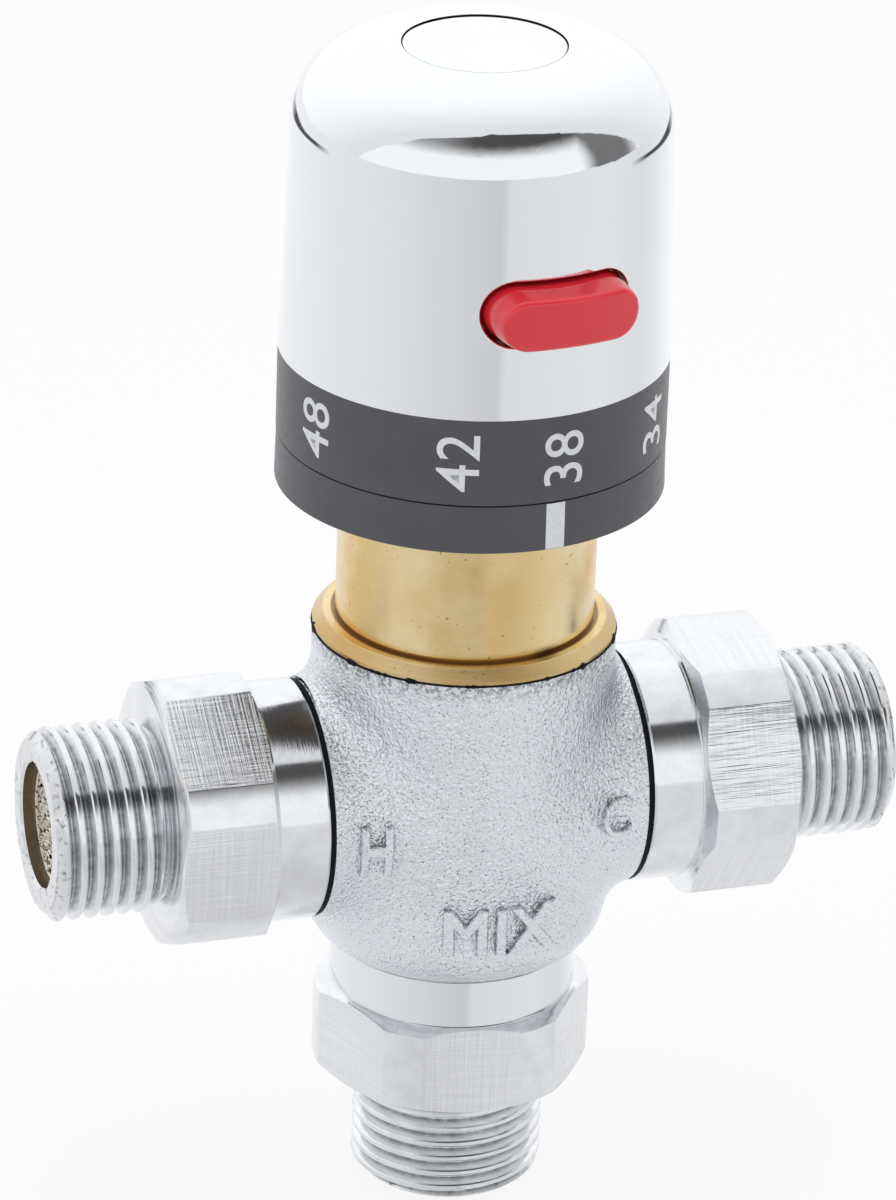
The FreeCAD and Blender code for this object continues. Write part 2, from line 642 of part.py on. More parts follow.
def nipple(label, rotation, turned, mouth, thread_root, hex_out, hex_in, collar, spigot, pocket):
    """A G 1/2 nipple. All levels are distances from the knob axis, or down for the outlet."""
    body = new_body(label, rotation * Rotation(Vector(0, 0, 1), number(turned)))
    points = [
        ("bore_r", spigot),
        ("nipple_r", spigot),
        ("nipple_r", collar),
    ]
    if collar != hex_in:
        points += [
            ("collar_r - collar_edge", collar),
            ("collar_r", collar + " + collar_edge"),
            ("collar_r", hex_in),
        ]
    points += [
        ("hex_face_r", hex_in),
        ("hex_corner_r", hex_in + " + hex_chamfer"),
        ("hex_corner_r", hex_out + " - hex_chamfer"),
        ("hex_face_r", hex_out),
        ("relief_r", hex_out),
        ("relief_r", thread_root),
        ("thread_r", thread_root),
        ("thread_r", mouth + " - mouth_chamfer"),
        ("relief_r", mouth),
        ("bore_r", mouth),
    ]
    blank = turn(body, "turned_blank", points)
    hexagon = sketch_on(body, "hexagon_outline", "XY_Plane", hex_out)
    add_circle(hexagon, "hex_flats * 0.7")
    add_hexagon(hexagon, "hex_flats")
    extrude(body, "hexagon", hexagon, "%s - (%s)" % (hex_out, hex_in), "Pocket")
    if pocket:
        turn(body, "check_pocket", [
            ("0", spigot),
            ("check_bore_r", spigot),
            ("check_bore_r", "check_out"),
            ("0", "check_out"),
        ], "Groove")
    return body


for label, rotation, turned in (
    ("hot_nipple", HOT, "0 - hot_hex_turn"),
    ("cold_nipple", COLD, "cold_hex_turn"),
):
    nipple(label, rotation, turned, "port_reach", "thread_root", "hex_reach", "hex_root",
           "collar_reach", "face_reach - spigot_len", True)
outlet_nipple = nipple(
    "outlet_nipple", OUTLET, "outlet_hex_turn", "axis_height", "outlet_thread_root",
    "outlet_hex_reach", "body_drop", "body_drop", "body_drop - outlet_spigot_len", False)
ring_groove(outlet_nipple, "seal_groove", "nipple_r - 2 * cord_r", "nipple_r + 1",
            "body_drop - 3.4", "body_drop - 2.2")
o_ring("outlet_seal", "nipple_r - 2 * cord_r", "cord_r - 0.01", "body_drop - 2.8", OUTLET)
for label, rotation in (("hot_seal", HOT), ("cold_seal", COLD)):
    turn(new_body(label, rotation), "ring", [
        ("gasket_in_r", "face_reach"),
        ("boss_r", "face_reach"),
        ("boss_r", "collar_reach"),
        ("gasket_in_r", "collar_reach"),
    ])

# ---------------------------------------------------------------------------------------------
# Check valves and strainers of the two inlets
# ---------------------------------------------------------------------------------------------
for side, rotation in (("hot", HOT), ("cold", COLD)):
    cage = new_body(side + "_check_cage", rotation)
    turn(cage, "shell", [
        ("check_r - check_wall", "check_in"),
        ("check_r", "check_in"),
        ("check_r", "check_out"),
        ("check_seat_r", "check_out"),
        ("check_seat_r", "check_seat"),
        ("check_r - check_wall", "check_seat"),
    ])
    turn(cage, "stem_guide", [
        ("stem_r + running_gap", "check_in"),
        ("check_guide_r", "check_in"),
        ("check_guide_r", "spring_seat"),
        ("stem_r + running_gap", "spring_seat"),
    ])
    spoke = sketch_on(cage, "spoke_outline", "XY_Plane", "check_in")
    add_rectangle(spoke, "check_guide_r - 0.4", "check_r - check_wall + 0.3",
                  "0 - check_spoke_w / 2", "check_spoke_w / 2")
    arm = extrude(cage, "spoke", spoke, "check_guide_h")
    repeat_round(cage, "spokes", arm, spoke, "3")

    turn(new_body(side + "_check_poppet", rotation), "poppet", [
        ("0", "stem_end"),
        ("stem_r", "stem_end"),
        ("stem_r", "poppet_back"),
        ("poppet_r", "poppet_back"),
        ("poppet_r", "poppet_face"),
        ("0", "poppet_face"),
    ])
    coil_spring(side + "_check_spring", "check_wire", "check_coil", "check_turns",
                "spring_seat", "poppet_back", rotation)

    strainer = new_body(side + "_strainer", rotation)
    turn(strainer, "disc", [
        ("0", "strainer_top - strainer_h"),
        ("strainer_r", "strainer_top - strainer_h"),
        ("strainer_r", "strainer_top"),
        ("0", "strainer_top"),
    ])
    for ring in (1, 2, 3):
        opening = sketch_on(strainer, "opening_%d_outline" % ring, "XY_Plane", "strainer_top")
        add_rectangle(opening, "%d * strainer_pitch - strainer_hole / 2" % ring,
                      "%d * strainer_pitch + strainer_hole / 2" % ring,
                      "0 - strainer_hole / 2", "strainer_hole / 2")
        hole = extrude(strainer, "opening_%d" % ring, opening, "strainer_h", "Pocket")
        repeat_round(strainer, "openings_%d" % ring, hole, opening, str(6 * ring))

# ---------------------------------------------------------------------------------------------
# Cartridge: cage with windows, cold seat, shuttle, wax element and the springs
# ---------------------------------------------------------------------------------------------
cage = new_body("cartridge_cage")
turn(cage, "sleeve", [
    ("cage_floor_r", "0 - cage_low"),
    ("cage_r", "0 - cage_low"),
    ("cage_r", "gallery_far + cage_gap"),
    ("guide_bore_r - cage_gap", "gallery_far + cage_gap"),
    ("guide_bore_r - cage_gap", "top_bore_floor"),
    ("cage_flange_r", "top_bore_floor"),
    ("cage_flange_r", "cage_top"),
    ("cage_bore_r", "cage_top"),
    ("cage_bore_r", "hot_seat"),
    ("seat_in_r", "hot_seat"),
    ("seat_in_r", "cage_floor - cage_low"),
    ("cage_floor_r", "cage_floor - cage_low"),
])
for level, low, high in (
    ("hot", "0 - gallery_far + window_edge", "0 - gallery_near - window_edge"),
    ("cold", "gallery_near + window_edge", "gallery_far - window_edge"),
):
    window = sketch_on(cage, level + "_window_outline", "YZ_Plane")
    add_rectangle(window, "0 - window_w / 2", "window_w / 2", low, high)
    opening = extrude(cage, level + "_window", window, "gallery_r", "Pocket", True)
    pattern = cage.newObject("PartDesign::PolarPattern", level + "_windows")
    pattern.Originals = [opening]
    z_axis = [item for item in cage.Origin.OriginFeatures if item.Role == "Z_Axis"][0]
    pattern.Axis = (z_axis, [""])
    pattern.Angle = 360
    pattern.setExpression("Occurrences", formula("window_count"))
    cage.Tip = pattern
ring_groove(cage, "seal_groove", "cage_r - 2 * cord_r", "cage_r + 1", "0 - 1.2 * cord_r", "1.2 * cord_r")
o_ring("cage_seal", "cage_r - 2 * cord_r", "cord_r - 0.01", "0")

turn(new_body("cold_seat_ring"), "ring", [
    ("seat_in_r", "cold_seat"),
    ("shuttle_r", "cold_seat"),
    ("shuttle_r", "cage_top"),
    ("seat_ring_flange_r", "cage_top"),
    ("seat_ring_flange_r", "cage_top + seat_ring_flange_h"),
    ("seat_in_r", "cage_top + seat_ring_flange_h"),
])

shuttle = new_body("shuttle")
turn(shuttle, "sleeve", [
    ("shuttle_r - shuttle_wall", "0 - shuttle_h / 2"),
    ("shuttle_r", "0 - shuttle_h / 2"),
    ("shuttle_r", "shuttle_h / 2"),
    ("shuttle_r - shuttle_wall", "shuttle_h / 2"),
])
turn(shuttle, "hub", [
    ("element_neck_r + running_gap", "0 - spider_h / 2"),
    ("spider_hub_r", "0 - spider_h / 2"),
    ("spider_hub_r", "spider_h / 2"),
    ("element_neck_r + running_gap", "spider_h / 2"),
])
spoke = sketch_on(shuttle, "spoke_outline", "XY_Plane", "0 - spider_h / 2")
add_rectangle(spoke, "spider_hub_r - 0.3", "shuttle_r - shuttle_wall + 0.3",
              "0 - spoke_w / 2", "spoke_w / 2")
arm = extrude(shuttle, "spoke", spoke, "spider_h")
repeat_round(shuttle, "spokes", arm, spoke, "4")
ring_groove(shuttle, "seal_groove", "shuttle_r - 2 * small_cord_r", "shuttle_r + 1",
            "0 - 1.2 * small_cord_r", "1.2 * small_cord_r")
o_ring("shuttle_seal", "shuttle_r - 2 * small_cord_r", "small_cord_r - 0.01", "0")

turn(new_body("wax_element"), "element", [
    ("0", "0 - spider_h / 2 - element_h"),
    ("element_r", "0 - spider_h / 2 - element_h"),
    ("element_r", "0 - spider_h / 2"),
    ("element_neck_r", "0 - spider_h / 2"),
    ("element_neck_r", "spider_h / 2"),
    ("element_guide_r", "spider_h / 2"),
    ("element_guide_r", "spider_h / 2 + element_guide_h"),
    ("piston_r + running_gap", "spider_h / 2 + element_guide_h"),
    ("piston_r + running_gap", "0 - spider_h / 2 - piston_depth - seat_gap"),
    ("0", "0 - spider_h / 2 - piston_depth - seat_gap"),
])
turn(new_body("wax_piston"), "piston", [
    ("0", "0 - spider_h / 2 - piston_depth"),
    ("piston_r", "0 - spider_h / 2 - piston_depth"),
    ("piston_r", "pusher_low"),
    ("0", "pusher_low"),
])
coil_spring("return_spring", "return_wire", "return_coil", "return_turns",
            "cage_floor - cage_low", "0 - spider_h / 2")

# ---------------------------------------------------------------------------------------------
# Adjuster: a nut that climbs the spindle, kept from turning by two lugs in the bonnet
# ---------------------------------------------------------------------------------------------
adjuster = new_body("adjuster", toward_mark())
turn(adjuster, "cup", [
    ("spring_r", "adjuster_low"),
    ("adjuster_r", "adjuster_low"),
    ("adjuster_r", "nut_top"),
    ("spindle_r + running_gap", "nut_top"),
    ("spindle_r + running_gap", "adjuster_nut"),
    ("spring_r", "adjuster_nut"),
])
turn(adjuster, "ring_groove", [
    ("spring_r - 1", "ring_low"),
    ("spring_r + ring_inset", "ring_low"),
    ("spring_r + ring_inset", "ring_top"),
    ("spring_r - 1", "ring_top"),
], "Groove")
lug = sketch_on(adjuster, "lug_outline", "XY_Plane", "adjuster_nut")
add_rectangle(lug, "adjuster_r - 0.6", "lug_r", "0 - lug_w / 2", "lug_w / 2")
one_lug = extrude(adjuster, "lug", lug, "lug_h")
repeat_round(adjuster, "lugs", one_lug, lug, "2")

turn(new_body("adjuster_ring"), "ring", [
    ("spring_r + ring_inset - bonnet_gap - ring_w", "ring_low"),
    ("spring_r + ring_inset - bonnet_gap", "ring_low"),
    ("spring_r + ring_inset - bonnet_gap", "ring_top"),
    ("spring_r + ring_inset - bonnet_gap - ring_w", "ring_top"),
])
turn(new_body("pusher"), "pusher", [
    ("0", "pusher_low"),
    ("pusher_nose_r", "pusher_low"),
    ("pusher_nose_r", "ring_top"),
    ("spring_r - pusher_gap", "ring_top"),
    ("spring_r - pusher_gap", "pusher_top"),
    ("0", "pusher_top"),
])
coil_spring("overload_spring", "overload_wire", "overload_coil", "overload_turns",
            "pusher_top", "adjuster_nut")

# ---------------------------------------------------------------------------------------------
# Bonnet, index ring and spindle
# ---------------------------------------------------------------------------------------------
bonnet = new_body("bonnet", toward_mark())
turn(bonnet, "bonnet", [
    ("bonnet_bore_r", "cage_top"),
    ("top_bore_r - bonnet_gap", "cage_top"),
    ("top_bore_r - bonnet_gap", "barrel_top"),
    ("flange_low_r", "barrel_top"),
    ("flange_low_r", "flange_edge_top"),
    ("flange_top_r", "flange_top"),
    ("neck_r", "flange_top"),
    ("neck_r", "neck_top"),
    ("index_boss_r", "neck_top"),
    ("index_boss_r", "boss_top"),
    ("spindle_r + running_gap", "boss_top"),
    ("spindle_r + running_gap", "roof_low"),
    ("bonnet_bore_r", "roof_low"),
])
ring_groove(bonnet, "seal_groove", "top_bore_r - bonnet_gap - 2 * cord_r", "top_bore_r + 1",
            "barrel_top - 3.0", "barrel_top - 1.8")
groove = sketch_on(bonnet, "lug_groove_outline", "XY_Plane", "roof_low")
add_rectangle(groove, "bonnet_bore_r - 1", "lug_groove_r", "0 - lug_groove_w / 2", "lug_groove_w / 2")
one_groove = extrude(bonnet, "lug_groove", groove, "roof_low - cage_top", "Pocket")
repeat_round(bonnet, "lug_grooves", one_groove, groove, "2")
keyway = sketch_on(bonnet, "keyway_outline", "XY_Plane", "boss_top")
add_rectangle(keyway, "index_boss_r - keyway_depth", "index_boss_r + 1",
              "0 - keyway_w / 2", "keyway_w / 2")
extrude(bonnet, "keyway", keyway, "index_boss_h", "Pocket")
o_ring("bonnet_seal", "top_bore_r - bonnet_gap - 2 * cord_r", "cord_r - 0.01", "barrel_top - 2.4")

index_ring = new_body("index_ring", toward_mark())
turn(index_ring, "ring", [
    ("index_boss_r + bonnet_gap", "neck_top"),
    ("index_r", "neck_top"),
    ("index_top_r", "index_top"),
    ("index_r - index_wall", "index_top"),
    ("index_r - index_wall", "neck_top + index_web"),
    ("index_boss_r + bonnet_gap", "neck_top + index_web"),
])
key = sketch_on(index_ring, "key_outline", "XY_Plane", "neck_top")
add_rectangle(key, "index_boss_r - keyway_depth + 0.1", "index_boss_r + 0.6",
              "0.1 - keyway_w / 2", "keyway_w / 2 - 0.1")
key_pad = extrude(index_ring, "key", key, "index_web")

spindle = new_body("spindle")
turn(spindle, "shaft", [
    ("0", "spindle_low"),
    ("spindle_r", "spindle_low"),
    ("spindle_r", "thrust_low"),
    ("thrust_r", "thrust_low"),
    ("thrust_r", "thrust_top"),
    ("spindle_r", "thrust_top"),
    ("spindle_r", "clip_low"),
    ("clip_groove_r", "clip_low"),
    ("clip_groove_r", "clip_top"),
    ("spindle_r", "clip_top"),
    ("spindle_r", "clip_top + 0.8"),
    ("spline_r", "clip_top + 0.8"),
    ("spline_r", "spline_top"),
    ("0", "spline_top"),
])
tooth = sketch_on(spindle, "tooth_outline", "XY_Plane", "clip_top + 0.4")
add_rectangle(tooth, "spline_r - 0.5", "spline_r + tooth_h", "0 - tooth_w / 2", "tooth_w / 2")
one_tooth = extrude(spindle, "tooth", tooth, "spline_top - clip_top - 0.4")
repeat_round(spindle, "teeth", one_tooth, tooth, "tooth_count")
ring_groove(spindle, "seal_groove", "spindle_r - 2 * cord_r", "spindle_r + 1",
            "boss_top - 2.8", "boss_top - 1.6")
turn(spindle, "tapping", [
    ("0", "spline_top - tapping_depth"),
    ("screw_r + bonnet_gap", "spline_top - tapping_depth"),
    ("screw_r + bonnet_gap", "spline_top"),
    ("0", "spline_top"),
], "Groove")
o_ring("spindle_seal", "spindle_r - 2 * cord_r", "cord_r - 0.02", "boss_top - 2.2")

clip = new_body("spindle_clip")
clip_outline = sketch_on(clip, "clip_outline", "XY_Plane", "clip_low + 0.05")
add_circle(clip_outline, "clip_r")
clip_pad = extrude(clip, "washer", clip_outline, "clip_h - 0.1")
mouth = sketch_on(clip, "mouth_outline", "XY_Plane", "clip_top")
add_outline(mouth, [
    ("0 - clip_groove_r - bonnet_gap", "0 - clip_groove_r - bonnet_gap"),
    ("clip_groove_r + bonnet_gap", "0 - clip_groove_r - bonnet_gap"),
    ("clip_groove_r + bonnet_gap", "clip_r + 1"),
    ("0 - clip_groove_r - bonnet_gap", "clip_r + 1"),
])
extrude(clip, "mouth", mouth, "clip_h + 1", "Pocket")

# ---------------------------------------------------------------------------------------------
# Knob: numbered dial, chrome shell, cap and screw. These are drawn with +X toward the mark.
# ---------------------------------------------------------------------------------------------
dial = new_body("dial_core", toward_mark())
turn(dial, "dial", [
    ("spline_r + tooth_h + bonnet_gap", "hub_low"),
    ("hub_r", "hub_low"),
    ("hub_r", "dial_top - dial_web"),
    ("dial_r - dial_wall", "dial_top - dial_web"),
    ("dial_r - dial_wall", "dial_low"),
    ("dial_r", "dial_low"),
    ("dial_r", "dial_top"),
    ("rim_r", "dial_top"),
    ("rim_r", "dial_top + rim_h"),
    ("rim_r - rim_wall", "dial_top + rim_h"),
    ("rim_r - rim_wall", "dial_top"),
    ("hub_r", "dial_top"),
    ("hub_r", "hub_top"),
    ("screw_r + 0.2", "hub_top"),
    ("screw_r + 0.2", "spline_top + ring_gap"),
    ("spline_r + tooth_h + bonnet_gap", "spline_top + ring_gap"),
])
rib = sketch_on(dial, "guide_outline", "XY_Plane", "dial_top")
for sign in ("0 - ", "0 + "):
    inner = sign + "(catch_w / 2 + catch_gap)"
    outer = sign + "(catch_w / 2 + catch_gap + guide_t)"
    add_rectangle(rib, "hub_r - 1", "rim_r - rim_wall + 0.4", inner, outer)
extrude(dial, "guide_ribs", rib, "guide_h")
slot = sketch_on(dial, "catch_slot_outline", "XY_Plane", "dial_top + 0.1")
add_rectangle(slot, "catch_r - catch_t - press_travel - catch_gap", "dial_r - dial_wall",
              "0 - catch_w / 2 - catch_gap", "catch_w / 2 + catch_gap")
extrude(dial, "catch_slot", slot, "dial_web + 0.2", "Pocket")
rim_slot = sketch_on(dial, "rim_slot_outline", "XY_Plane", "dial_top + rim_h + 0.1")
add_rectangle(rim_slot, "catch_r - catch_t - 1", "dial_r + 1",
              "0 - catch_w / 2 - catch_gap", "catch_w / 2 + catch_gap")
extrude(dial, "rim_slot", rim_slot, "rim_h + 0.1", "Pocket")

shell = new_body("knob_shell", toward_mark())
outside = turn(shell, "outside", [
    ("0", "dial_top"),
    ("knob_r", "dial_top"),
    ("knob_shoulder_r", "knob_shoulder"),
    ("knob_shoulder_r", "knob_top - crown_fall"),
    ("cap_r", "knob_top"),
    ("0", "knob_top"),
])
round_edges(shell, "crown", outside, on_circle("knob_shoulder_r", "knob_top - crown_fall"), "crown_round")
turn(shell, "hollow", [
    ("0", "dial_top - 0.1"),
    ("knob_r - shell_wall", "dial_top - 0.1"),
    ("knob_shoulder_r - shell_wall", "crown_mid"),
    ("crown_mid_r + hollow_round * cos(30 deg)", "crown_mid + hollow_round * sin(30 deg)"),
    ("crown_mid_r + hollow_round * cos(60 deg)", "crown_mid + hollow_round * sin(60 deg)"),
    ("crown_mid_r", "crown_mid + hollow_round"),
    ("cap_r", "knob_top - shell_wall"),
    ("0", "knob_top - shell_wall"),
], "Groove")
turn(shell, "cap_recess", [
    ("0", "cap_ledge"),
    ("cap_r + cap_gap", "cap_ledge"),
    ("cap_r + cap_gap", "knob_top + 1"),
    ("0", "knob_top + 1"),
], "Groove")
turn(shell, "screw_access", [
    ("0", "knob_top - shell_wall - 1"),
    ("cap_skirt_r + 0.1", "knob_top - shell_wall - 1"),
    ("cap_skirt_r + 0.1", "cap_ledge + 0.1"),
    ("0", "cap_ledge + 0.1"),
], "Groove")
window = sketch_on(shell, "button_window_outline", "YZ_Plane", "hub_r")
add_racetrack(window, "button_w + 2 * window_gap", "button_h + 2 * window_gap", "button_mid")
opening = extrude(shell, "button_window", window, "knob_r", "Pocket", True)
round_edges(shell, "window_edge", opening,
            on_wall("knob_shoulder_r", "knob_r", "button_mid - button_h / 2 - window_gap",
                    "button_mid + button_h / 2 + window_gap"), "window_round")

turn(new_body("top_cap"), "cap", [
    ("cap_skirt_r - cap_skirt_wall", "cap_ledge - cap_skirt_h"),
    ("cap_skirt_r", "cap_ledge - cap_skirt_h"),
    ("cap_skirt_r", "cap_ledge"),
    ("cap_r", "cap_ledge"),
    ("cap_r", "cap_ledge + cap_h"),
    ("0", "cap_ledge + cap_h"),
    ("0", "cap_ledge"),
    ("cap_skirt_r - cap_skirt_wall", "cap_ledge"),
])

screw = new_body("knob_screw")
turn(screw, "screw", [
    ("0", "hub_top - screw_len"),
    ("screw_r", "hub_top - screw_len"),
    ("screw_r", "hub_top"),
    ("screw_head_r", "hub_top"),
    ("screw_head_r", "hub_top + screw_head_h"),
    ("0", "hub_top + screw_head_h"),
])
for name, wide, deep in (("slot", "screw_head_r * 0.6", "0.45"), ("cross", "0.45", "screw_head_r * 0.6")):
    drive = sketch_on(screw, name + "_outline", "XY_Plane", "hub_top + screw_head_h")
    add_rectangle(drive, "0 - " + wide, wide, "0 - " + deep, deep)
    extrude(screw, name, drive, "screw_head_h / 2", "Pocket")

# ---------------------------------------------------------------------------------------------
# Safety button: it shows in the shell's window, and its catch hangs down to the index ring
# ---------------------------------------------------------------------------------------------
button = new_body("safety_button", toward_mark())
face = sketch_on(button, "button_outline", "YZ_Plane", "button_back")
add_racetrack(face, "button_w", "button_h", "button_mid")
extrude(button, "button", face, "shell_at_button - button_back")
drafted = sketch_on(button, "drafted_outline", "YZ_Plane", "shell_at_button")
add_racetrack(drafted, "button_w", "button_h", "button_mid")
nose = extrude(button, "drafted_button", drafted, "button_r + 1 - shell_at_button")
nose.setExpression("TaperAngle", formula("0 - button_draft"))
face_cut = turn(button, "face_cut", [
    ("button_r", "button_mid - button_h"),
    ("button_r + 3", "button_mid - button_h"),
    ("button_r + 3", "button_mid + button_h"),
    ("button_r", "button_mid + button_h"),
], "Groove")
round_edges(button, "face_edge", face_cut,
            on_wall("button_r", "button_r", "button_mid - button_h", "button_mid + button_h"),
            "button_round")
plate = sketch_on(button, "plate_outline", "YZ_Plane", "button_back")
add_racetrack(plate, "plate_w", "plate_h", "button_mid")
extrude(button, "plate", plate, "plate_t")
catch = sketch_on(button, "catch_outline", "XY_Plane", "catch_low")
add_rectangle(catch, "catch_r - catch_t", "catch_r", "0 - catch_w / 2", "catch_w / 2")
extrude(button, "catch", catch, "button_mid - catch_low")

# The stop lug stands on the index ring's floor, on the hotter side of the catch.
stop = sketch_on(index_ring, "stop_outline", "XY_Plane", "neck_top + index_web")
add_rectangle(stop, "stop_in_r", "index_r - index_wall + 0.5",
              "catch_w / 2 + catch_gap", "catch_w / 2 + catch_gap + stop_w")
extrude(index_ring, "stop_lug", stop, "stop_h")

coil_spring("button_spring", "button_wire", "button_coil", "button_turns", "hub_r", "button_back",
            toward_mark() * Rotation(Vector(0, 1, 0), 90), Vector(0, 0, number("button_mid")))

# ---------------------------------------------------------------------------------------------
# Check the document, then write each piece
# ---------------------------------------------------------------------------------------------
doc.recompute()
for item in doc.Objects:
    if "Invalid" in item.State or "Error" in item.State:
        raise RuntimeError("%s was not built: %s" % (item.Name, item.State))
for piece in PIECES:
    shape = piece.Shape
    if shape.isNull() or not shape.isValid() or len(shape.Solids) != 1:
        raise RuntimeError("%s is not one sound solid" % piece.Label)

os.makedirs("parts", exist_ok=True)
for piece in PIECES:
    piece.Shape.exportStep("parts/%s.step" % piece.Label)
    print("%-20s %9.1f mm3" % (piece.Label, piece.Shape.Volume))
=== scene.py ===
import json
import math
from collections import namedtuple

import bmesh
import bpy
from bpy.props import FloatProperty, FloatVectorProperty, PointerProperty
from mathutils import Matrix, Vector
from mathutils import noise as turbulence


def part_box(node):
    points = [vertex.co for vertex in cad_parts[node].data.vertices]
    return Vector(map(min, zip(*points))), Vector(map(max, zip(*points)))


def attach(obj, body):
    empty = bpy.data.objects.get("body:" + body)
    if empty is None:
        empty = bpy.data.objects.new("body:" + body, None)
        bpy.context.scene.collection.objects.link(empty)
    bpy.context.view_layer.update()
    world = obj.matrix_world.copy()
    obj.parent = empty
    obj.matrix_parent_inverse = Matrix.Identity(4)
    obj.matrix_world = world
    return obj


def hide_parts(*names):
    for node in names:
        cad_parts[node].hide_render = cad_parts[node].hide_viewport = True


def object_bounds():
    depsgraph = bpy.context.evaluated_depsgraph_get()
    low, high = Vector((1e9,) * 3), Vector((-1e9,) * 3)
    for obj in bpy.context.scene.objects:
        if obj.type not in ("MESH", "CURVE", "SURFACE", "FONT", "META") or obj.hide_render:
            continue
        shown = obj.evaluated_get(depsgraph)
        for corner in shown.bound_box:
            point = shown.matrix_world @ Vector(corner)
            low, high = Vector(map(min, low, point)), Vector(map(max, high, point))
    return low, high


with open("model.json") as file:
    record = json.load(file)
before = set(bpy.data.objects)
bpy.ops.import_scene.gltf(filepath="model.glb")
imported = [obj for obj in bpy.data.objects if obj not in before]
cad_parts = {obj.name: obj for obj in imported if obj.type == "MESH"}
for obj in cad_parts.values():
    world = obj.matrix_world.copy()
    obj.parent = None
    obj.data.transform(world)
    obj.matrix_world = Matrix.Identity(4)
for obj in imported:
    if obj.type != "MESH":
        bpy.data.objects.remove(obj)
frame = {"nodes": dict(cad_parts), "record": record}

bl_info = {
    "name": "Mixing valve",
    "version": (1, 0, 0),
    "blender": (4, 5, 0),
    "location": "3D View > Sidebar > Valve",
    "description": "Threads, strainers, marks, numbers and finishes of a water mixing valve",
    "category": "Object",
}

CAD_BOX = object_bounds()
MM = 0.001
ARM_LEVEL = (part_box("hot_seal")[0].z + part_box("hot_seal")[1].z) / 2
PORT_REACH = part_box("cold_nipple")[1].x


def port_turn(degrees, axis):
    """How a tail's own upright frame turns to its port."""
    return Matrix.Translation((0, 0, ARM_LEVEL)) @ Matrix.Rotation(math.radians(degrees), 4, axis)


TO_HOT, TO_COLD, TO_OUTLET = port_turn(-90, "Y"), port_turn(90, "Y"), port_turn(180, "X")


# ---------------------------------------------------------------------------------------------
# Sizes and colours
# ---------------------------------------------------------------------------------------------
def number(name, description, default, **more):
    return FloatProperty(name=name, description=description, default=default, **more)


def length(name, description, default):
    return number(name, description, default, unit="LENGTH", precision=5)


def angle(name, description, degrees):
    return number(name, description, math.radians(degrees), subtype="ANGLE")


def colour(name, description, default):
    return FloatVectorProperty(name=name, description=description, default=default, size=3,
                               subtype="COLOR", min=0, max=1)


class ValveTailSizes(bpy.types.PropertyGroup):
    crest_radius: length("Crest radius", "Outer radius of the pipe thread", 10.4775 * MM)
    root_radius: length("Root radius", "Radius at the bottom of the thread", 9.33 * MM)
    pitch: length("Pitch", "Distance from one turn of the thread to the next", 1.814 * MM)
    mouth_radius: length("Mouth radius", "Outer radius of the mouth's face", 9.3 * MM)
    mouth_chamfer: length("Mouth chamfer", "Length of the chamfer on the first turn", 1.0 * MM)
    thread_length: length("Thread length", "Threaded length behind the chamfer", 11.1 * MM)
    bore_radius: length("Bore radius", "Radius of the waterway", 6.8 * MM)
    pocket_radius: length("Pocket radius", "Bore that holds the check valve", 7.55 * MM)
    pocket_end: length("Pocket end", "Distance of the pocket's end from the knob axis", 29.0 * MM)
    hexagon_flats: length("Hexagon", "Width across the hexagon's flats", 28.3 * MM)
    hexagon_corner: length("Hexagon corners", "Radius that the corners are turned to", 15.2 * MM)
    hexagon_face: length("Hexagon face", "Radius of the hexagon's flat end face", 13.75 * MM)
    hexagon_inset: length("Hexagon chamfer", "Length of the chamfer on the hexagon's ends", 0.84 * MM)
    collar_radius: length("Collar radius", "Turned collar beside the body", 13.1 * MM)
    collar_edge: length("Collar edge", "Edge break on the collar", 0.35 * MM)
    spigot_radius: length("Spigot radius", "Part that is screwed into the body", 10.25 * MM)


class ValveBodySizes(bpy.types.PropertyGroup):
    barrel_radius: length("Barrel radius", "Radius of the cast barrel", 16.4 * MM)
    barrel_top: length("Barrel top", "Top of the barrel above the arms' axis", 19.0 * MM)
    boss_face: length("Boss face radius", "Radius of a port's boss at its face", 12.9 * MM)
    boss_root: length("Boss root radius", "Radius of the boss where it leaves the barrel", 13.3 * MM)
    boss_reach: length("Boss reach", "Distance of the boss's face from the knob axis", 17.6 * MM)
    band_radius: length("Band radius", "Radius of the turned band under the casting", 13.54 * MM)
    band_top: length("Band top", "Depth of that band under the arms' axis", 17.9 * MM)
    shoulder_height: length("Shoulder height", "Height of the slope above the band", 2.0 * MM)
    shoulder_round: length("Shoulder rounding", "Rounding of the lower shoulder", 5.0 * MM)
    hollow: length("Hollow", "Width of the soft hollow between boss and barrel", 3.2 * MM)
    skin: length("Skin", "How far the rough skin stands over the machined solid", 0.04 * MM)
    flange_height: length("Flange height", "Height of the brass flange on the barrel", 1.6 * MM)
    neck_radius: length("Neck radius", "Radius of the brass neck", 13.95 * MM)


class ValveMarkSizes(bpy.types.PropertyGroup):
    hot_height: length("Hot letter", "Height of the letter on the hot boss", 5.8 * MM)
    cold_height: length("Cold letter", "Height of the letter on the cold boss", 4.7 * MM)
    outlet_height: length("Outlet letters", "Height of the letters on the barrel", 5.5 * MM)
    relief: length("Relief", "How far the cast letters stand out", 0.75 * MM)
    round_edge: length("Rounding", "Rounding of the cast letters' edges", 0.4 * MM)
    number_height: length("Numbers", "Height of the numbers on the dial", 4.5 * MM)
    number_level: length("Number level", "Height of their middle above the dial's edge", 4.75 * MM)
    ink: length("Ink", "Thickness of the printed numbers and index bar", 0.03 * MM)
    bar_width: angle("Bar width", "Width of the index bar round its ring", 5.9)
    bar_bearing: angle("Bar bearing", "Bearing of the index bar from the front", 7.8)


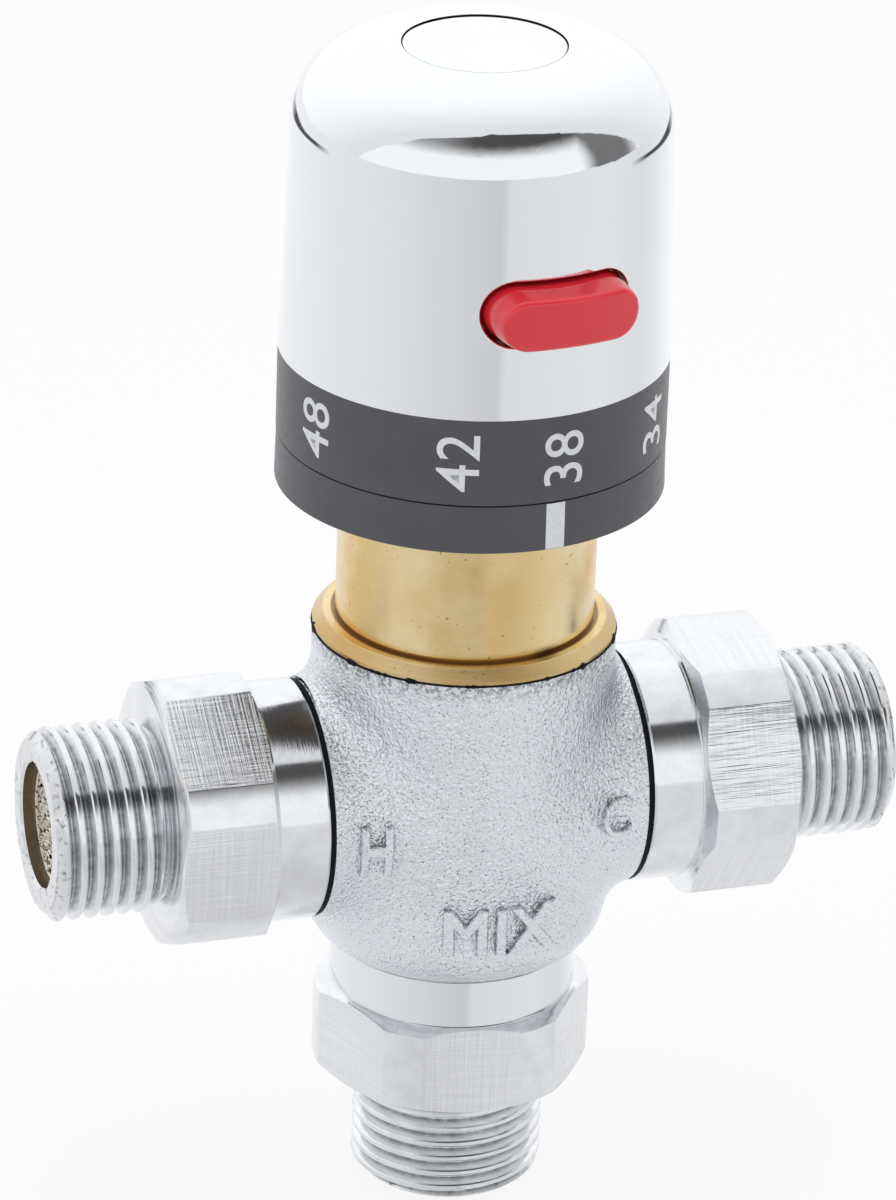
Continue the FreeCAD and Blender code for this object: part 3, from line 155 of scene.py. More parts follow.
class ValveStrainerSizes(bpy.types.PropertyGroup):
    wire: length("Wire", "Radius of the strainer's wire", 0.2 * MM)
    spacing: length("Spacing", "Distance between neighbouring wires", 0.92 * MM)
    depth: length("Depth", "How far the strainer sits inside the mouth", 1.9 * MM)


class ValveColours(bpy.types.PropertyGroup):
    chrome: colour("Chrome", "Chrome plate", (0.86, 0.87, 0.885))
    cast: colour("Cast chrome", "Satin plate over the casting", (0.80, 0.825, 0.86))
    # brass and tarnish are also the bright and dark ends of the neck's painted reflection bands
    brass: colour("Brass", "Bare turned brass, where it is rubbed bright", (0.90, 0.75, 0.46))
    tarnish: colour("Tarnish", "Deeper tone that bare brass takes", (0.72, 0.48, 0.18))
    dial: colour("Dial", "Dark plastic of the dial and index ring", (0.068, 0.066, 0.078))
    print_ink: colour("Print", "Pale ink of the numbers and the index bar", (0.74, 0.76, 0.78))
    button: colour("Button", "Red plastic of the safety button", (0.76, 0.026, 0.040))
    rubber: colour("Rubber", "Black rubber of the seals", (0.003, 0.003, 0.0035))
    gauze: colour("Gauze", "Wire of the strainers", (0.70, 0.66, 0.60))


class ValveStage(bpy.types.PropertyGroup):
    azimuth: angle("Azimuth", "Camera's bearing round the valve", -18.145)
    elevation: angle("Elevation", "Camera's height above the horizon", 24.84)
    roll: angle("Roll", "Camera's roll", 2.029)
    distance: length("Distance", "Camera's distance", 0.74803)
    target: FloatVectorProperty(name="Target", description="Place that the camera looks at",
                                default=(-0.001887, 0, 0.068626), size=3, unit="LENGTH", precision=5)
    lens: number("Lens", "Focal length in millimetres", 208.68)
    panel_edge: number("Panel edge", "Forward lean of the overhead panel's front edge", 0.58)
    panel_skew: number("Panel skew", "How far that edge runs back on the right", 0.28)
    gap_low: number("Gap start", "Sine of the height where the dim gap starts", 0.40)
    gap_high: number("Gap full", "Sine of the height where the dim gap is full", 0.72)
    gap_shade: number("Gap shade", "Brightness of the dim gap in reflections", 0.08)
    key: number("Key", "Power of the overhead softbox", 2.2, unit="POWER")
    fill: number("Fill", "Power of each side softbox", 1.1, unit="POWER")


# ---------------------------------------------------------------------------------------------
# Mesh helpers
# ---------------------------------------------------------------------------------------------
def settle(mesh, name, materials, crease=30.0):
    """Turn a bmesh into a finished object with smooth faces and sharp creases."""
    bmesh.ops.recalc_face_normals(mesh, faces=mesh.faces)
    data = bpy.data.meshes.new(name)
    mesh.to_mesh(data)
    mesh.free()
    data.shade_smooth()
    data.set_sharp_from_angle(angle=math.radians(crease))
    piece = bpy.data.objects.new(name, data)
    bpy.context.scene.collection.objects.link(piece)
    for material in materials:
        data.materials.append(material)
    return piece


def slice_mesh(mesh, place, normal, clear=True):
    """Cut by a plane, clear what lies beyond it if asked, and give back what lies on the cut."""
    return bmesh.ops.bisect_plane(mesh, geom=mesh.verts[:] + mesh.edges[:] + mesh.faces[:],
                                  dist=1e-7, plane_co=place, plane_no=normal,
                                  clear_outer=clear)["geom_cut"]


def lathe(mesh, points, steps, closed=False, rise=0.0, merge=True):
    """Sweep a line through (radius, level) points once round the upright axis."""
    verts = [mesh.verts.new((radius, 0, level)) for radius, level in points]
    if closed:
        geometry = verts + [mesh.edges.new(pair) for pair in zip(verts, verts[1:] + verts[:1])]
    else:
        geometry = verts[:1]
        for pair in zip(verts, verts[1:]):
            geometry += [pair[1], mesh.edges.new(pair)]
    bmesh.ops.spin(mesh, geom=geometry, cent=(0, 0, 0), axis=(0, 0, 1), dvec=(0, 0, rise),
                   angle=math.tau, steps=steps, use_merge=merge)


def grow(mesh, edges):
    """Extrude open edges, and give back the new vertices and the edges between them."""
    grown = bmesh.ops.extrude_edge_only(mesh, edges=edges)["geom"]
    fresh = [item for item in grown if isinstance(item, bmesh.types.BMVert)]
    kept = set(fresh)
    return fresh, [item for item in grown if isinstance(item, bmesh.types.BMEdge)
                   and kept.issuperset(item.verts)]


def rim_at(mesh, level):
    """The open edges that lie at one level."""
    return [edge for edge in mesh.edges if edge.is_boundary
            and all(abs(vert.co.z - level) < 1e-6 for vert in edge.verts)]


def carry(mesh, edges, radius, level, material=0):
    """Extrude a round open edge to a new radius and level, and give back its new edges."""
    fresh, edges = grow(mesh, edges)
    for vert in fresh:
        out = Vector((vert.co.x, vert.co.y, 0)).normalized() * radius
        vert.co = Vector((out.x, out.y, level))
    for face in (face for edge in edges for face in edge.link_faces):
        face.material_index = material
    return edges


def find_surface(gap, inner, outer, halvings):
    """The distance at which a gap stops being negative."""
    for halving in range(halvings):
        middle = (inner + outer) / 2
        if gap(middle) < 0:
            inner = middle
        else:
            outer = middle
    return inner


# ---------------------------------------------------------------------------------------------
# Connection tails: true helical thread, chamfered hexagon, collar, spigot and pocket
# ---------------------------------------------------------------------------------------------
TURNED, MILLED, BORE = 0, 1, 2
# One turn of the thread, rounded at crest and root: place along the pitch, height over the root.
THREAD_FORM = ((-0.27, 0.62), (-0.19, 0.88), (-0.11, 0.98), (0.0, 1.0), (0.11, 0.98), (0.19, 0.88),
               (0.27, 0.62), (0.38, 0.18), (0.44, 0.04), (0.5, 0.0), (0.56, 0.04), (0.62, 0.18))
# Distances from the knob axis for an inlet, and from the arms' axis for the outlet.
TailLevels = namedtuple("TailLevels", "mouth hexagon_out hexagon_in collar spigot")
INLET = TailLevels(PORT_REACH, 34.9 * MM, 23.9 * MM, 18.1 * MM, 13.7 * MM)
OUTLET = TailLevels(ARM_LEVEL, 33.8 * MM, 23.3 * MM, 23.3 * MM, 16.4 * MM)


def cut_thread(mesh, sizes, low, high, steps=96):
    """A long zigzag, swept with a rise of one pitch, closes into a whole thread."""
    depth = sizes.crest_radius - sizes.root_radius
    turns = math.ceil((high - low) / sizes.pitch) + 3
    lathe(mesh, [(sizes.root_radius + depth * height, low + (turn - 1.6 + place) * sizes.pitch)
                 for turn in range(turns) for place, height in THREAD_FORM],
          steps, rise=sizes.pitch / steps, merge=False)
    bmesh.ops.remove_doubles(mesh, verts=mesh.verts, dist=2e-6)
    for level, side in ((low, -1), (high, 1)):
        slice_mesh(mesh, (0, 0, level), (0, 0, side))
    # the chamfer at the mouth and the steeper run-out below keep the crests down
    slope, runout = (sizes.crest_radius - sizes.mouth_radius) / sizes.mouth_chamfer, 1.6
    for vert in mesh.verts:
        radius = math.hypot(vert.co.x, vert.co.y)
        above, below = vert.co.z - low, high - vert.co.z
        allowed = max(min(radius, sizes.mouth_radius + slope * below,
                          sizes.mouth_radius + runout * above), sizes.mouth_radius)
        if min(above, below) < 1e-6:
            allowed = sizes.mouth_radius
        vert.co.x *= allowed / radius
        vert.co.y *= allowed / radius


def tail_inside(sizes, levels, inlet):
    """Rounded mouth, bore and the pocket for an inlet's check valve: radius, level, finish."""
    bore, pocket = sizes.bore_radius, sizes.pocket_radius
    outline = [(bore + 0.35 * MM, levels.mouth, TURNED), (bore, levels.mouth - 0.3 * MM, TURNED)]
    if inlet:
        outline += [(bore, sizes.pocket_end, BORE), (pocket, sizes.pocket_end, BORE)]
    return outline + [(pocket if inlet else bore, levels.spigot, BORE)]


def tail_outside(sizes, levels, inlet):
    """Relief, hexagon blank, an inlet's collar, and spigot, with their edges broken."""
    neck, corner, face, inset = (sizes.mouth_radius, sizes.hexagon_corner, sizes.hexagon_face,
                                 sizes.hexagon_inset)
    collar, edge = sizes.collar_radius, sizes.collar_edge
    fillet, flat, round_out, round_down = 0.15 * MM, 0.12 * MM, 0.1 * MM, 0.06 * MM
    out, back = levels.hexagon_out, levels.hexagon_in
    outline = [(neck, out + fillet), (neck + fillet, out), (face - flat, out),
               (face + round_out, out - round_down), (corner, out - inset), (corner, back + inset)]
    if inlet:
        outline += [(face, back + round_down / 2), (collar + flat, back), (collar, back - flat),
                    (collar, levels.collar + edge), (collar - flat, levels.collar + edge * 0.4),
                    (collar - edge, levels.collar)]
    else:
        outline += [(face + round_out, back + round_down), (face - flat, back)]
    return outline + [(sizes.spigot_radius, levels.collar), (sizes.spigot_radius, levels.spigot)]


def mill_hexagon(mesh, sizes, turned):
    """Six planes each take a slice off the blank, and the slice is closed again."""
    for step in range(6):
        bearing = turned + math.radians(60 * step + 30)
        normal = Vector((math.cos(bearing), math.sin(bearing), 0))
        cut = slice_mesh(mesh, normal * sizes.hexagon_flats / 2, normal)
        outline = [item for item in cut if isinstance(item, bmesh.types.BMEdge)]
        for flat in bmesh.ops.contextual_create(mesh, geom=outline)["faces"]:
            flat.material_index = MILLED


def map_run_and_depth(mesh, turned):
    """UV maps in millimetres: "run" goes along the tail and round it, "depth" is the radius."""
    run, depth = (mesh.loops.layers.uv.new(name) for name in ("run", "depth"))
    flat_shift = 40
    for face in mesh.faces:
        middle = face.calc_center_median()
        bearing = math.atan2(middle.y, middle.x)
        milled = face.material_index == MILLED
        if milled:
            first = turned + math.radians(30)
            bearing = first + math.radians(60 * round((bearing - first) / math.radians(60)))
        across = Vector((-math.sin(bearing), math.cos(bearing), 0))
        for loop in face.loops:
            point = loop.vert.co
            radius = math.hypot(point.x, point.y) / MM
            if milled:
                # each flat takes its own stretch of the pattern
                side = point.dot(across) / MM + flat_shift * (bearing + 4)
            else:
                around = math.atan2(point.y, point.x)
                side = (around - math.tau * round((around - bearing) / math.tau)) * radius
            loop[run].uv = (point.z / MM, side)
            loop[depth].uv = (radius, 0)


def tail(name, sizes, levels, turned, inlet, finishes):
    """A whole tail, drawn upright with its mouth at the top."""
    mesh = bmesh.new()
    low = levels.mouth - sizes.mouth_chamfer - sizes.thread_length
    cut_thread(mesh, sizes, low, levels.mouth)
    inner, outer = rim_at(mesh, levels.mouth), rim_at(mesh, low)
    for radius, level, material in tail_inside(sizes, levels, inlet):
        inner = carry(mesh, inner, radius, level, material)
    for radius, level in tail_outside(sizes, levels, inlet):
        outer = carry(mesh, outer, radius, level)
    bmesh.ops.bridge_loops(mesh, edges=outer + inner)
    mill_hexagon(mesh, sizes, turned)
    map_run_and_depth(mesh, turned)
    return settle(mesh, name, finishes, 24.0)


class VALVE_OT_tails(bpy.types.Operator):
    """Make the three threaded connection tails"""
    bl_idname = "valve.tails"
    bl_label = "Connection tails"

    def execute(self, context):
        finishes = [turned_chrome(), milled_chrome(), dull_bore()]
        rows = (
            ("hot_tail", "hot_nipple", TO_HOT, INLET, -4.3),
            ("cold_tail", "cold_nipple", TO_COLD, INLET, 36.8),
            ("outlet_tail", "outlet_nipple", TO_OUTLET, OUTLET, 7.2),
        )
        for name, node, turn, levels, hexagon in rows:
            piece = tail(name, context.scene.valve_tails, levels, math.radians(hexagon),
                         levels is INLET, finishes)
            piece.data.transform(turn)
            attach(piece, "housing")
            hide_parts(node)
        return {"FINISHED"}


# ---------------------------------------------------------------------------------------------
# Cast skin: the barrel and bosses as one soft form, laid over the machined solid
# ---------------------------------------------------------------------------------------------
def barrel_at(sizes, level):
    """Radius of the barrel's outline at a level above the arms' axis."""
    slope = Vector((sizes.barrel_radius - sizes.band_radius, sizes.shoulder_height))
    bend, rounding = math.atan2(slope.x, slope.y), sizes.shoulder_round
    start = sizes.band_top - sizes.shoulder_height - rounding * math.tan(bend / 2)
    drop = -level - start
    if drop <= 0:
        return sizes.barrel_radius
    if drop < rounding * math.sin(bend):
        return sizes.barrel_radius - rounding + math.sqrt(rounding ** 2 - drop ** 2)
    return sizes.band_radius + (sizes.band_top + level) * slope.x / slope.y


def body_gap(sizes, across, front, level):
    """Distance of a point from the soft outer form, negative inside it."""
    taper_start = 9.0 * MM
    barrel = math.hypot(across, front) - barrel_at(sizes, level)
    share = max((abs(across) - taper_start) / (sizes.boss_reach - taper_start), 0)
    boss = math.hypot(front, level) - (sizes.boss_root
                                       + share * (sizes.boss_face - sizes.boss_root))
    near = max(sizes.hollow - abs(barrel - boss), 0) / sizes.hollow
    return min(barrel, boss) - near * near * sizes.hollow / 4


class VALVE_OT_body_skin(bpy.types.Operator):
    """Lay the cast skin over the body, with soft hollows between its bosses and its barrel"""
    bl_idname = "valve.body_skin"
    bl_label = "Cast skin"

    def execute(self, context):
        sizes = context.scene.valve_body
        rows, steps = 114, 320
        low, high = -sizes.band_top, sizes.barrel_top - 0.06 * MM
        mesh = bmesh.new()
        lathe(mesh, [(sizes.barrel_radius, low + (high - low) * row / rows)
                     for row in range(rows + 1)], steps)
        inner, limit = sizes.band_radius - 1 * MM, sizes.boss_reach + 0.6 * MM
        for vert in mesh.verts:
            bearing = math.atan2(vert.co.y, vert.co.x)
            side, front = math.cos(bearing), math.sin(bearing)
            reach = sizes.skin + find_surface(
                lambda out: body_gap(sizes, out * side, out * front, vert.co.z),
                inner, limit / max(abs(side), 0.5), 16)
            vert.co.x, vert.co.y = reach * side, reach * front
        for way in (-1, 1):
            slice_mesh(mesh, (way * (sizes.boss_reach - 0.05 * MM), 0, 0), (way, 0, 0))
        bmesh.ops.recalc_face_normals(mesh, faces=mesh.faces)
        bmesh.ops.solidify(mesh, geom=mesh.faces[:], thickness=0.25 * MM)
        piece = settle(mesh, "body_skin", [cast_chrome()], 50)
        piece.data.transform(Matrix.Translation((0, 0, ARM_LEVEL)))
        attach(piece, "housing")
        return {"FINISHED"}


class VALVE_OT_joint_bead(bpy.types.Operator):
    """Squeeze an uneven bead of dark sealant out of the joint under the bonnet's flange"""
    bl_idname = "valve.joint_bead"
    bl_label = "Sealant bead"

    def execute(self, context):
        sizes = context.scene.valve_body
        radius, thick, sides = sizes.barrel_radius - 0.03 * MM, 0.14 * MM, 8
        mesh = bmesh.new()
        lathe(mesh, [(radius + thick * math.cos(math.tau * side / sides),
                      sizes.barrel_top + thick * math.sin(math.tau * side / sides))
                     for side in range(sides)], 360, closed=True)
        for vert in mesh.verts:
            core = Vector((*(vert.co.xy.normalized() * radius), sizes.barrel_top))
            lump = turbulence.noise(core / (1.7 * MM)) + 0.6 * turbulence.noise(core / (0.5 * MM))
            swell = 1.0 + 3.0 * max(lump - 0.22, 0)
            offset = vert.co - core
            offset.z *= swell
            vert.co = core + offset * (0.8 + 0.25 * swell)
        piece = settle(mesh, "joint_bead", [seal_rubber()], 60)
        piece.data.transform(Matrix.Translation((0, 0, ARM_LEVEL)))
        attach(piece, "housing")
        return {"FINISHED"}


# ---------------------------------------------------------------------------------------------
# Strainers: a woven wire disc in a pressed rim
# ---------------------------------------------------------------------------------------------
def wavy_wire(mesh, start, end, lift, radius, spacing, sides=5):
    """One wire of the weave, swept from a small circle."""
    reach, heading = (end - start).length, (end - start).normalized()
    steps = max(4, round(reach / (spacing / 3)))
    turn = heading.to_track_quat("Z", "X").to_matrix().to_4x4()
    first = bmesh.ops.create_circle(mesh, cap_ends=True, segments=sides, radius=radius,
                                    matrix=Matrix.Translation(start) @ turn)["verts"]
    ring = [edge for edge in mesh.edges if edge.verts[0] in first and edge.verts[1] in first]
    before = 0.0
    for step in range(1, steps + 1):
        height = lift * math.sin(math.pi * reach * step / steps / spacing)
        fresh, ring = grow(mesh, ring)
        bmesh.ops.translate(mesh, verts=fresh,
                            vec=heading * (reach / steps) + Vector((0, 0, height - before)))
        before = height
    bmesh.ops.contextual_create(mesh, geom=ring)


def woven_disc(sizes, outer):
    """Wires both ways across a disc, over and under each other."""
    mesh = bmesh.new()
    inside = outer - sizes.wire * 1.6
    rows = int(inside / sizes.spacing)
    for row in range(-rows, rows + 1):
        offset = row * sizes.spacing
        half = math.sqrt(max(inside ** 2 - offset ** 2, 0)) - 0.02 * MM
        if half < sizes.spacing / 2:
            continue
        half = min(half, round(half / sizes.spacing) * sizes.spacing)
        lift = sizes.wire * (1 if row % 2 else -1)
        wavy_wire(mesh, Vector((-half, offset, 0)), Vector((half, offset, 0)),
                  lift, sizes.wire, sizes.spacing)
        wavy_wire(mesh, Vector((offset, -half, 0)), Vector((offset, half, 0)),
                  -lift, sizes.wire, sizes.spacing)
    return mesh


class VALVE_OT_strainers(bpy.types.Operator):
    """Weave the two wire strainers that sit behind the inlets' mouths"""
    bl_idname = "valve.strainers"
    bl_label = "Strainers"

    def execute(self, context):
        sizes = context.scene.valve_strainers
        outer = context.scene.valve_tails.bore_radius - 0.02 * MM
        thick, lip, shoulder, inner = 0.34 * MM, 0.12 * MM, outer - 0.45 * MM, outer - 0.62 * MM
        rim = [(outer, -thick), (outer, thick), (shoulder, thick), (inner, lip), (inner, -lip),
               (shoulder, -thick)]
        for name, node, turn in (("hot_gauze", "hot_strainer", TO_HOT),
                                 ("cold_gauze", "cold_strainer", TO_COLD)):
            mesh = woven_disc(sizes, outer)
            lathe(mesh, rim, 64, closed=True)
            piece = settle(mesh, name, [gauze_wire()], 50)
            piece.data.transform(turn @ Matrix.Translation((0, 0, PORT_REACH - sizes.depth)))
            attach(piece, "housing")
            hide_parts(node)
        return {"FINISHED"}


# ---------------------------------------------------------------------------------------------
# Letters, numbers and the index bar
# ---------------------------------------------------------------------------------------------
def lettering(text, height, thick, bold, round_edge=0.0, spacing=1.0, wide=1.0):
    """Text as a mesh in the XY plane, centred, with a given height of its capitals."""
    capital = 0.69
    curve = bpy.data.curves.new(text, "FONT")
    curve.body = text
    curve.align_x, curve.align_y = "LEFT", "BOTTOM_BASELINE"
    curve.size = 1.0
    curve.space_character = spacing
    curve.bevel_depth = round_edge * capital / height
    curve.bevel_resolution = 3
    curve.offset = bold - curve.bevel_depth
    curve.extrude = thick * capital / height / 2 - curve.bevel_depth
    curve.resolution_u = 6
    holder = bpy.data.objects.new(text, curve)
    bpy.context.scene.collection.objects.link(holder)
    bpy.context.view_layer.update()
    data = bpy.data.meshes.new_from_object(holder)
    bpy.data.objects.remove(holder)
    mesh = bmesh.new()
    mesh.from_mesh(data)
    bpy.data.meshes.remove(data)
    bmesh.ops.remove_doubles(mesh, verts=mesh.verts, dist=1e-5)
    low, high = (Vector([edge(vert.co[axis] for vert in mesh.verts) for axis in range(3)])
                 for edge in (min, max))
    scale = height / (high.y - low.y)
    bmesh.ops.translate(mesh, verts=mesh.verts, vec=-(low + high) / 2)
    bmesh.ops.scale(mesh, verts=mesh.verts,
                    vec=(scale * wide, scale, thick / (high.z - low.z)))
    return mesh


def shred(mesh, step=0.4 * MM):
    """Cut a flat mesh into strips in both directions, so that it can bend."""
    for axis, normal in enumerate((Vector((1, 0, 0)), Vector((0, 1, 0)))):
        low, high = (edge(vert.co[axis] for vert in mesh.verts) for edge in (min, max))
        for strip in range(1, int((high - low) / step) + 1):
            slice_mesh(mesh, normal * (low + strip * step), normal, clear=False)


def wrap_upright(mesh, radius, bearing, level):
    """Bend text in the XY plane round a cylinder about Z. Bearing runs from the front to +X."""
    for vert in mesh.verts:
        around = bearing + vert.co.x / radius
        out = radius + vert.co.z
        vert.co = Vector((out * math.sin(around), -out * math.cos(around), level + vert.co.y))


def lay_on_body(mesh, sizes, along, level, relief):
    """Press flat letters against the cast form, seen from the front, so their tops follow it."""
    step = 0.2 * MM
    for vert in mesh.verts:
        across, height = along + vert.co.x, level + vert.co.y
        front = find_surface(lambda out: body_gap(sizes, across, out, height), 6 * MM, 24 * MM, 18)
        place = Vector((across, front, height))
        normal = Vector([body_gap(sizes, *(place + way)) - body_gap(sizes, *(place - way))
                         for way in (Vector((step, 0, 0)), Vector((0, step, 0)),
                                     Vector((0, 0, step)))]).normalized()
        place += normal * (vert.co.z + relief)
        vert.co = (place.x, -place.y, place.z + ARM_LEVEL)


class VALVE_OT_port_marks(bpy.types.Operator):
    """Raise the cast marks of the hot, cold and mixed ports"""
    bl_idname = "valve.port_marks"
    bl_label = "Port marks"

    def execute(self, context):
        sizes, body = context.scene.valve_marks, context.scene.valve_body
        thick, spacing = 1.8 * MM, 1.14
        # name, text, height, place across and up in millimetres, share of the width, weight
        rows = (
            ("hot_mark", "H", sizes.hot_height, -13.2, -0.6, 0.72, 0.045),
            ("cold_mark", "C", sizes.cold_height, 13.7, 0.2, 0.86, 0.024),
            ("outlet_mark", "MIX", sizes.outlet_height, 0.1, -10.2, 0.90, 0.045),
        )
        for name, text, height, along, level, wide, bold in rows:
            mesh = lettering(text, height, thick, bold, sizes.round_edge, spacing, wide)
            shred(mesh)
            rise = mesh.loops.layers.uv.new("rise")
            for loop in (loop for face in mesh.faces for loop in face.loops):
                loop[rise].uv = ((loop.vert.co.z - thick / 2) / sizes.relief + 1, 0)
            lay_on_body(mesh, body, along * MM, level * MM, body.skin + sizes.relief - thick / 2)
            piece = settle(mesh, name, [cast_chrome_marks()], 60)
            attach(piece, "housing")
        return {"FINISHED"}


class VALVE_OT_dial_numbers(bpy.types.Operator):
    """Print the temperatures round the dial"""
    bl_idname = "valve.dial_numbers"
    bl_label = "Dial numbers"

    def execute(self, context):
        sizes = context.scene.valve_marks
        low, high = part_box("dial_core")
        for text, bearing in (("48", -69.7), ("42", -21.7), ("38", 9.8), ("34", 48.3)):
            mesh = lettering(text, sizes.number_height, sizes.ink * 2, 0.003, spacing=1.05)
            bmesh.ops.rotate(mesh, verts=mesh.verts, cent=(0, 0, 0),
                             matrix=Matrix.Rotation(math.radians(90), 3, "Z"))
            shred(mesh)
            wrap_upright(mesh, high.x, math.radians(bearing), low.z + sizes.number_level)
            piece = settle(mesh, "number_" + text, [printed_ink()], 60)
            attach(piece, "knob")
        return {"FINISHED"}


class VALVE_OT_index_bar(bpy.types.Operator):
    """Print the index bar on the fixed ring"""
    bl_idname = "valve.index_bar"
    bl_label = "Index bar"

    def execute(self, context):
        sizes = context.scene.valve_marks
        low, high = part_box("index_ring")
        height, radius, draft = high.z - low.z, high.x, 0.11 * MM
        mesh = bmesh.new()
        bmesh.ops.create_grid(mesh, x_segments=8, y_segments=10, size=0.5)
        bmesh.ops.scale(mesh, verts=mesh.verts,
                        vec=(sizes.bar_width * radius, height - 0.1 * MM, 1))
        bmesh.ops.solidify(mesh, geom=mesh.faces[:], thickness=sizes.ink)
        # the bar leans in with the ring's draft
        for vert in mesh.verts:
            vert.co.z += sizes.ink + draft * (0.5 - vert.co.y / height) - draft
        wrap_upright(mesh, radius, sizes.bar_bearing, (low.z + high.z) / 2)
        piece = settle(mesh, "index_bar", [printed_ink()], 40)
        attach(piece, "housing")
        return {"FINISHED"}


# ---------------------------------------------------------------------------------------------
# Nodes
# ---------------------------------------------------------------------------------------------
class NodeKit:
    """Short ways to add nodes to one tree. A value is a constant or another node's socket."""

    def __init__(self, tree):
        self.tree = tree

    def put(self, socket, value):
        if isinstance(value, bpy.types.NodeSocket):
            self.tree.links.new(value, socket)
        else:
            socket.default_value = value

    def add(self, kind, values=None, **settings):
        """A node with its settings made and its inputs filled, and its outputs given back."""
        node = self.tree.nodes.new(kind)
        for name, setting in settings.items():
            setattr(node, name, setting)
        for place, value in (values or {}).items():
            self.put(node.inputs[place], value)
        return node.outputs

    def math(self, operation, *values):
        return self.add("ShaderNodeMath", dict(enumerate(values)), operation=operation)[0]

    def times(self, first, *others):
        for other in others:
            first = self.math("MULTIPLY", first, other)
        return first

    def plus(self, first, second):
        return self.math("ADD", first, second)

    def minus(self, first, second):
        return self.math("SUBTRACT", first, second)

    def ramp(self, value, low, high, to_low=0.0, to_high=1.0, kind="LINEAR"):
        """Map a value from one range to another."""
        values = dict(enumerate((value, low, high, to_low, to_high)))
        return self.add("ShaderNodeMapRange", values, interpolation_type=kind)[0]

    def smooth(self, value, low, high, to_low=0.0, to_high=1.0):
        return self.ramp(value, low, high, to_low, to_high, "SMOOTHSTEP")

    def noise(self, vector, scale, detail=2.0, roughness=0.5, distortion=0.0):
        return self.add("ShaderNodeTexNoise", {
            "Vector": vector, "Scale": scale, "Detail": detail, "Roughness": roughness,
            "Distortion": distortion})["Fac"]

    def mix(self, factor, first, second):
        """Mix two colours, each a socket or three numbers."""
        first, second = (value if isinstance(value, bpy.types.NodeSocket) else (*value, 1)
                         for value in (first, second))
        return self.add("ShaderNodeMix", {0: factor, 6: first, 7: second}, data_type="RGBA")[2]

    def mix_shaders(self, factor, first, second):
        return self.add("ShaderNodeMixShader", {0: factor, 1: first, 2: second})[0]

    def split(self, vector):
        return self.add("ShaderNodeSeparateXYZ", {0: vector})

    def uv(self, name):
        return self.add("ShaderNodeUVMap", uv_map=name)[0]

    def place(self, turn=(0, 0, 0)):
        """Object coordinates in millimetres."""
        return self.add("ShaderNodeMapping", {
            "Vector": self.add("ShaderNodeTexCoord")["Object"],
            "Scale": (1 / MM, 1 / MM, 1 / MM), "Rotation": turn})["Vector"]

    def vector(self, operation, *values):
        return self.add("ShaderNodeVectorMath", dict(enumerate(values)), operation=operation)

    def off_axis(self, place):
        """Distance of a place from the upright axis."""
        return self.vector("LENGTH", self.vector("MULTIPLY", place, (1, 1, 0))[0])["Value"]

    def bearing(self, place):
        """Bearing of a place from the front, rising to the right."""
        parts = self.split(place)
        return self.math("ARCTAN2", parts[0], self.times(parts[1], -1.0))

    def group(self, tree, **values):
        return self.add("ShaderNodeGroup", values, node_tree=tree)

    def mirrored_ray(self, path):
        """One for the rays that chrome and clear matter send on."""
        return self.math("MAXIMUM", path["Is Glossy Ray"], path["Is Transmission Ray"])

    def surface(self, shader, base, rough, height, strength, distance, metal=1.0):
        """Fill the sockets that every finish fills."""
        shader["Metallic"].default_value = metal
        self.put(shader["Base Color"], base)
        self.put(shader["Roughness"], rough)
        self.put(shader["Normal"], self.add("ShaderNodeBump", {
            "Height": height, "Strength": strength, "Distance": distance})["Normal"])


def node_group(name, inputs, outputs, build):
    """A shared node group, built when it is first asked for. The first input is a vector."""
    group = bpy.data.node_groups.get(name)
    if group is None:
        group = bpy.data.node_groups.new(name, "ShaderNodeTree")
        kinds = ["NodeSocketVector"] + ["NodeSocketFloat"] * (len(inputs) - 1)
        for label, kind in zip(inputs, kinds):
            group.interface.new_socket(name=label, in_out="INPUT", socket_type=kind)
        for label in outputs:
            group.interface.new_socket(name=label, in_out="OUTPUT", socket_type="NodeSocketFloat")
        kit = NodeKit(group)
        start = kit.add("NodeGroupInput")
        results = build(kit, *(start[label] for label in inputs))
        kit.add("NodeGroupOutput", dict(zip(outputs, results)))
    return group


def casting_grain():
    """Pebbled skin of a casting: its height, a mask of its pits for tiny dark specks of painted
    shade, and slow clouding.
    """
    def build(kit, place, size):
        fine = kit.noise(place, size, 2.0, 0.5, 0.4)
        coarse = kit.noise(place, kit.times(size, 0.36), 2.0, 0.5)
        specks = kit.noise(place, kit.times(size, 2.1), 1.0, 0.4)
        height = kit.plus(kit.times(fine, 0.75), kit.times(coarse, 0.55))
        return (kit.minus(height, kit.ramp(specks, 0.25, 0.34, 0.5, 0.0)),
                kit.ramp(specks, 0.255, 0.30, 1.0, 0.0), kit.noise(place, 0.14, 3.0, 0.6))
    return node_group("casting grain", ("Vector", "Pebbles"), ("Height", "Specks", "Cloud"), build)


def lathe_lines():
    """Fine turning lines and handling marks along the first axis of the vector."""
    def build(kit, place, along, around):
        parts = kit.split(place)
        drawn_out = kit.add("ShaderNodeCombineXYZ", {
            0: kit.times(parts[0], along), 1: kit.times(parts[1], around),
            2: kit.times(parts[2], around)})[0]
        lines = kit.noise(drawn_out, 1.0, 3.0, 0.65)
        wear = kit.noise(place, 0.35, 4.0, 0.6)
        return lines, kit.ramp(lines, 0.35, 0.65), kit.ramp(wear, 0.35, 0.7)
    return node_group("lathe lines", ("Vector", "Along", "Around"), ("Height", "Streak", "Wear"),
                      build)


# ---------------------------------------------------------------------------------------------
# Finishes
# ---------------------------------------------------------------------------------------------
def tint(name, share=1.0):
    """A colour of the palette, made lighter or darker by a share."""
    return tuple(channel * share for channel in getattr(bpy.context.scene.valve_colours, name))


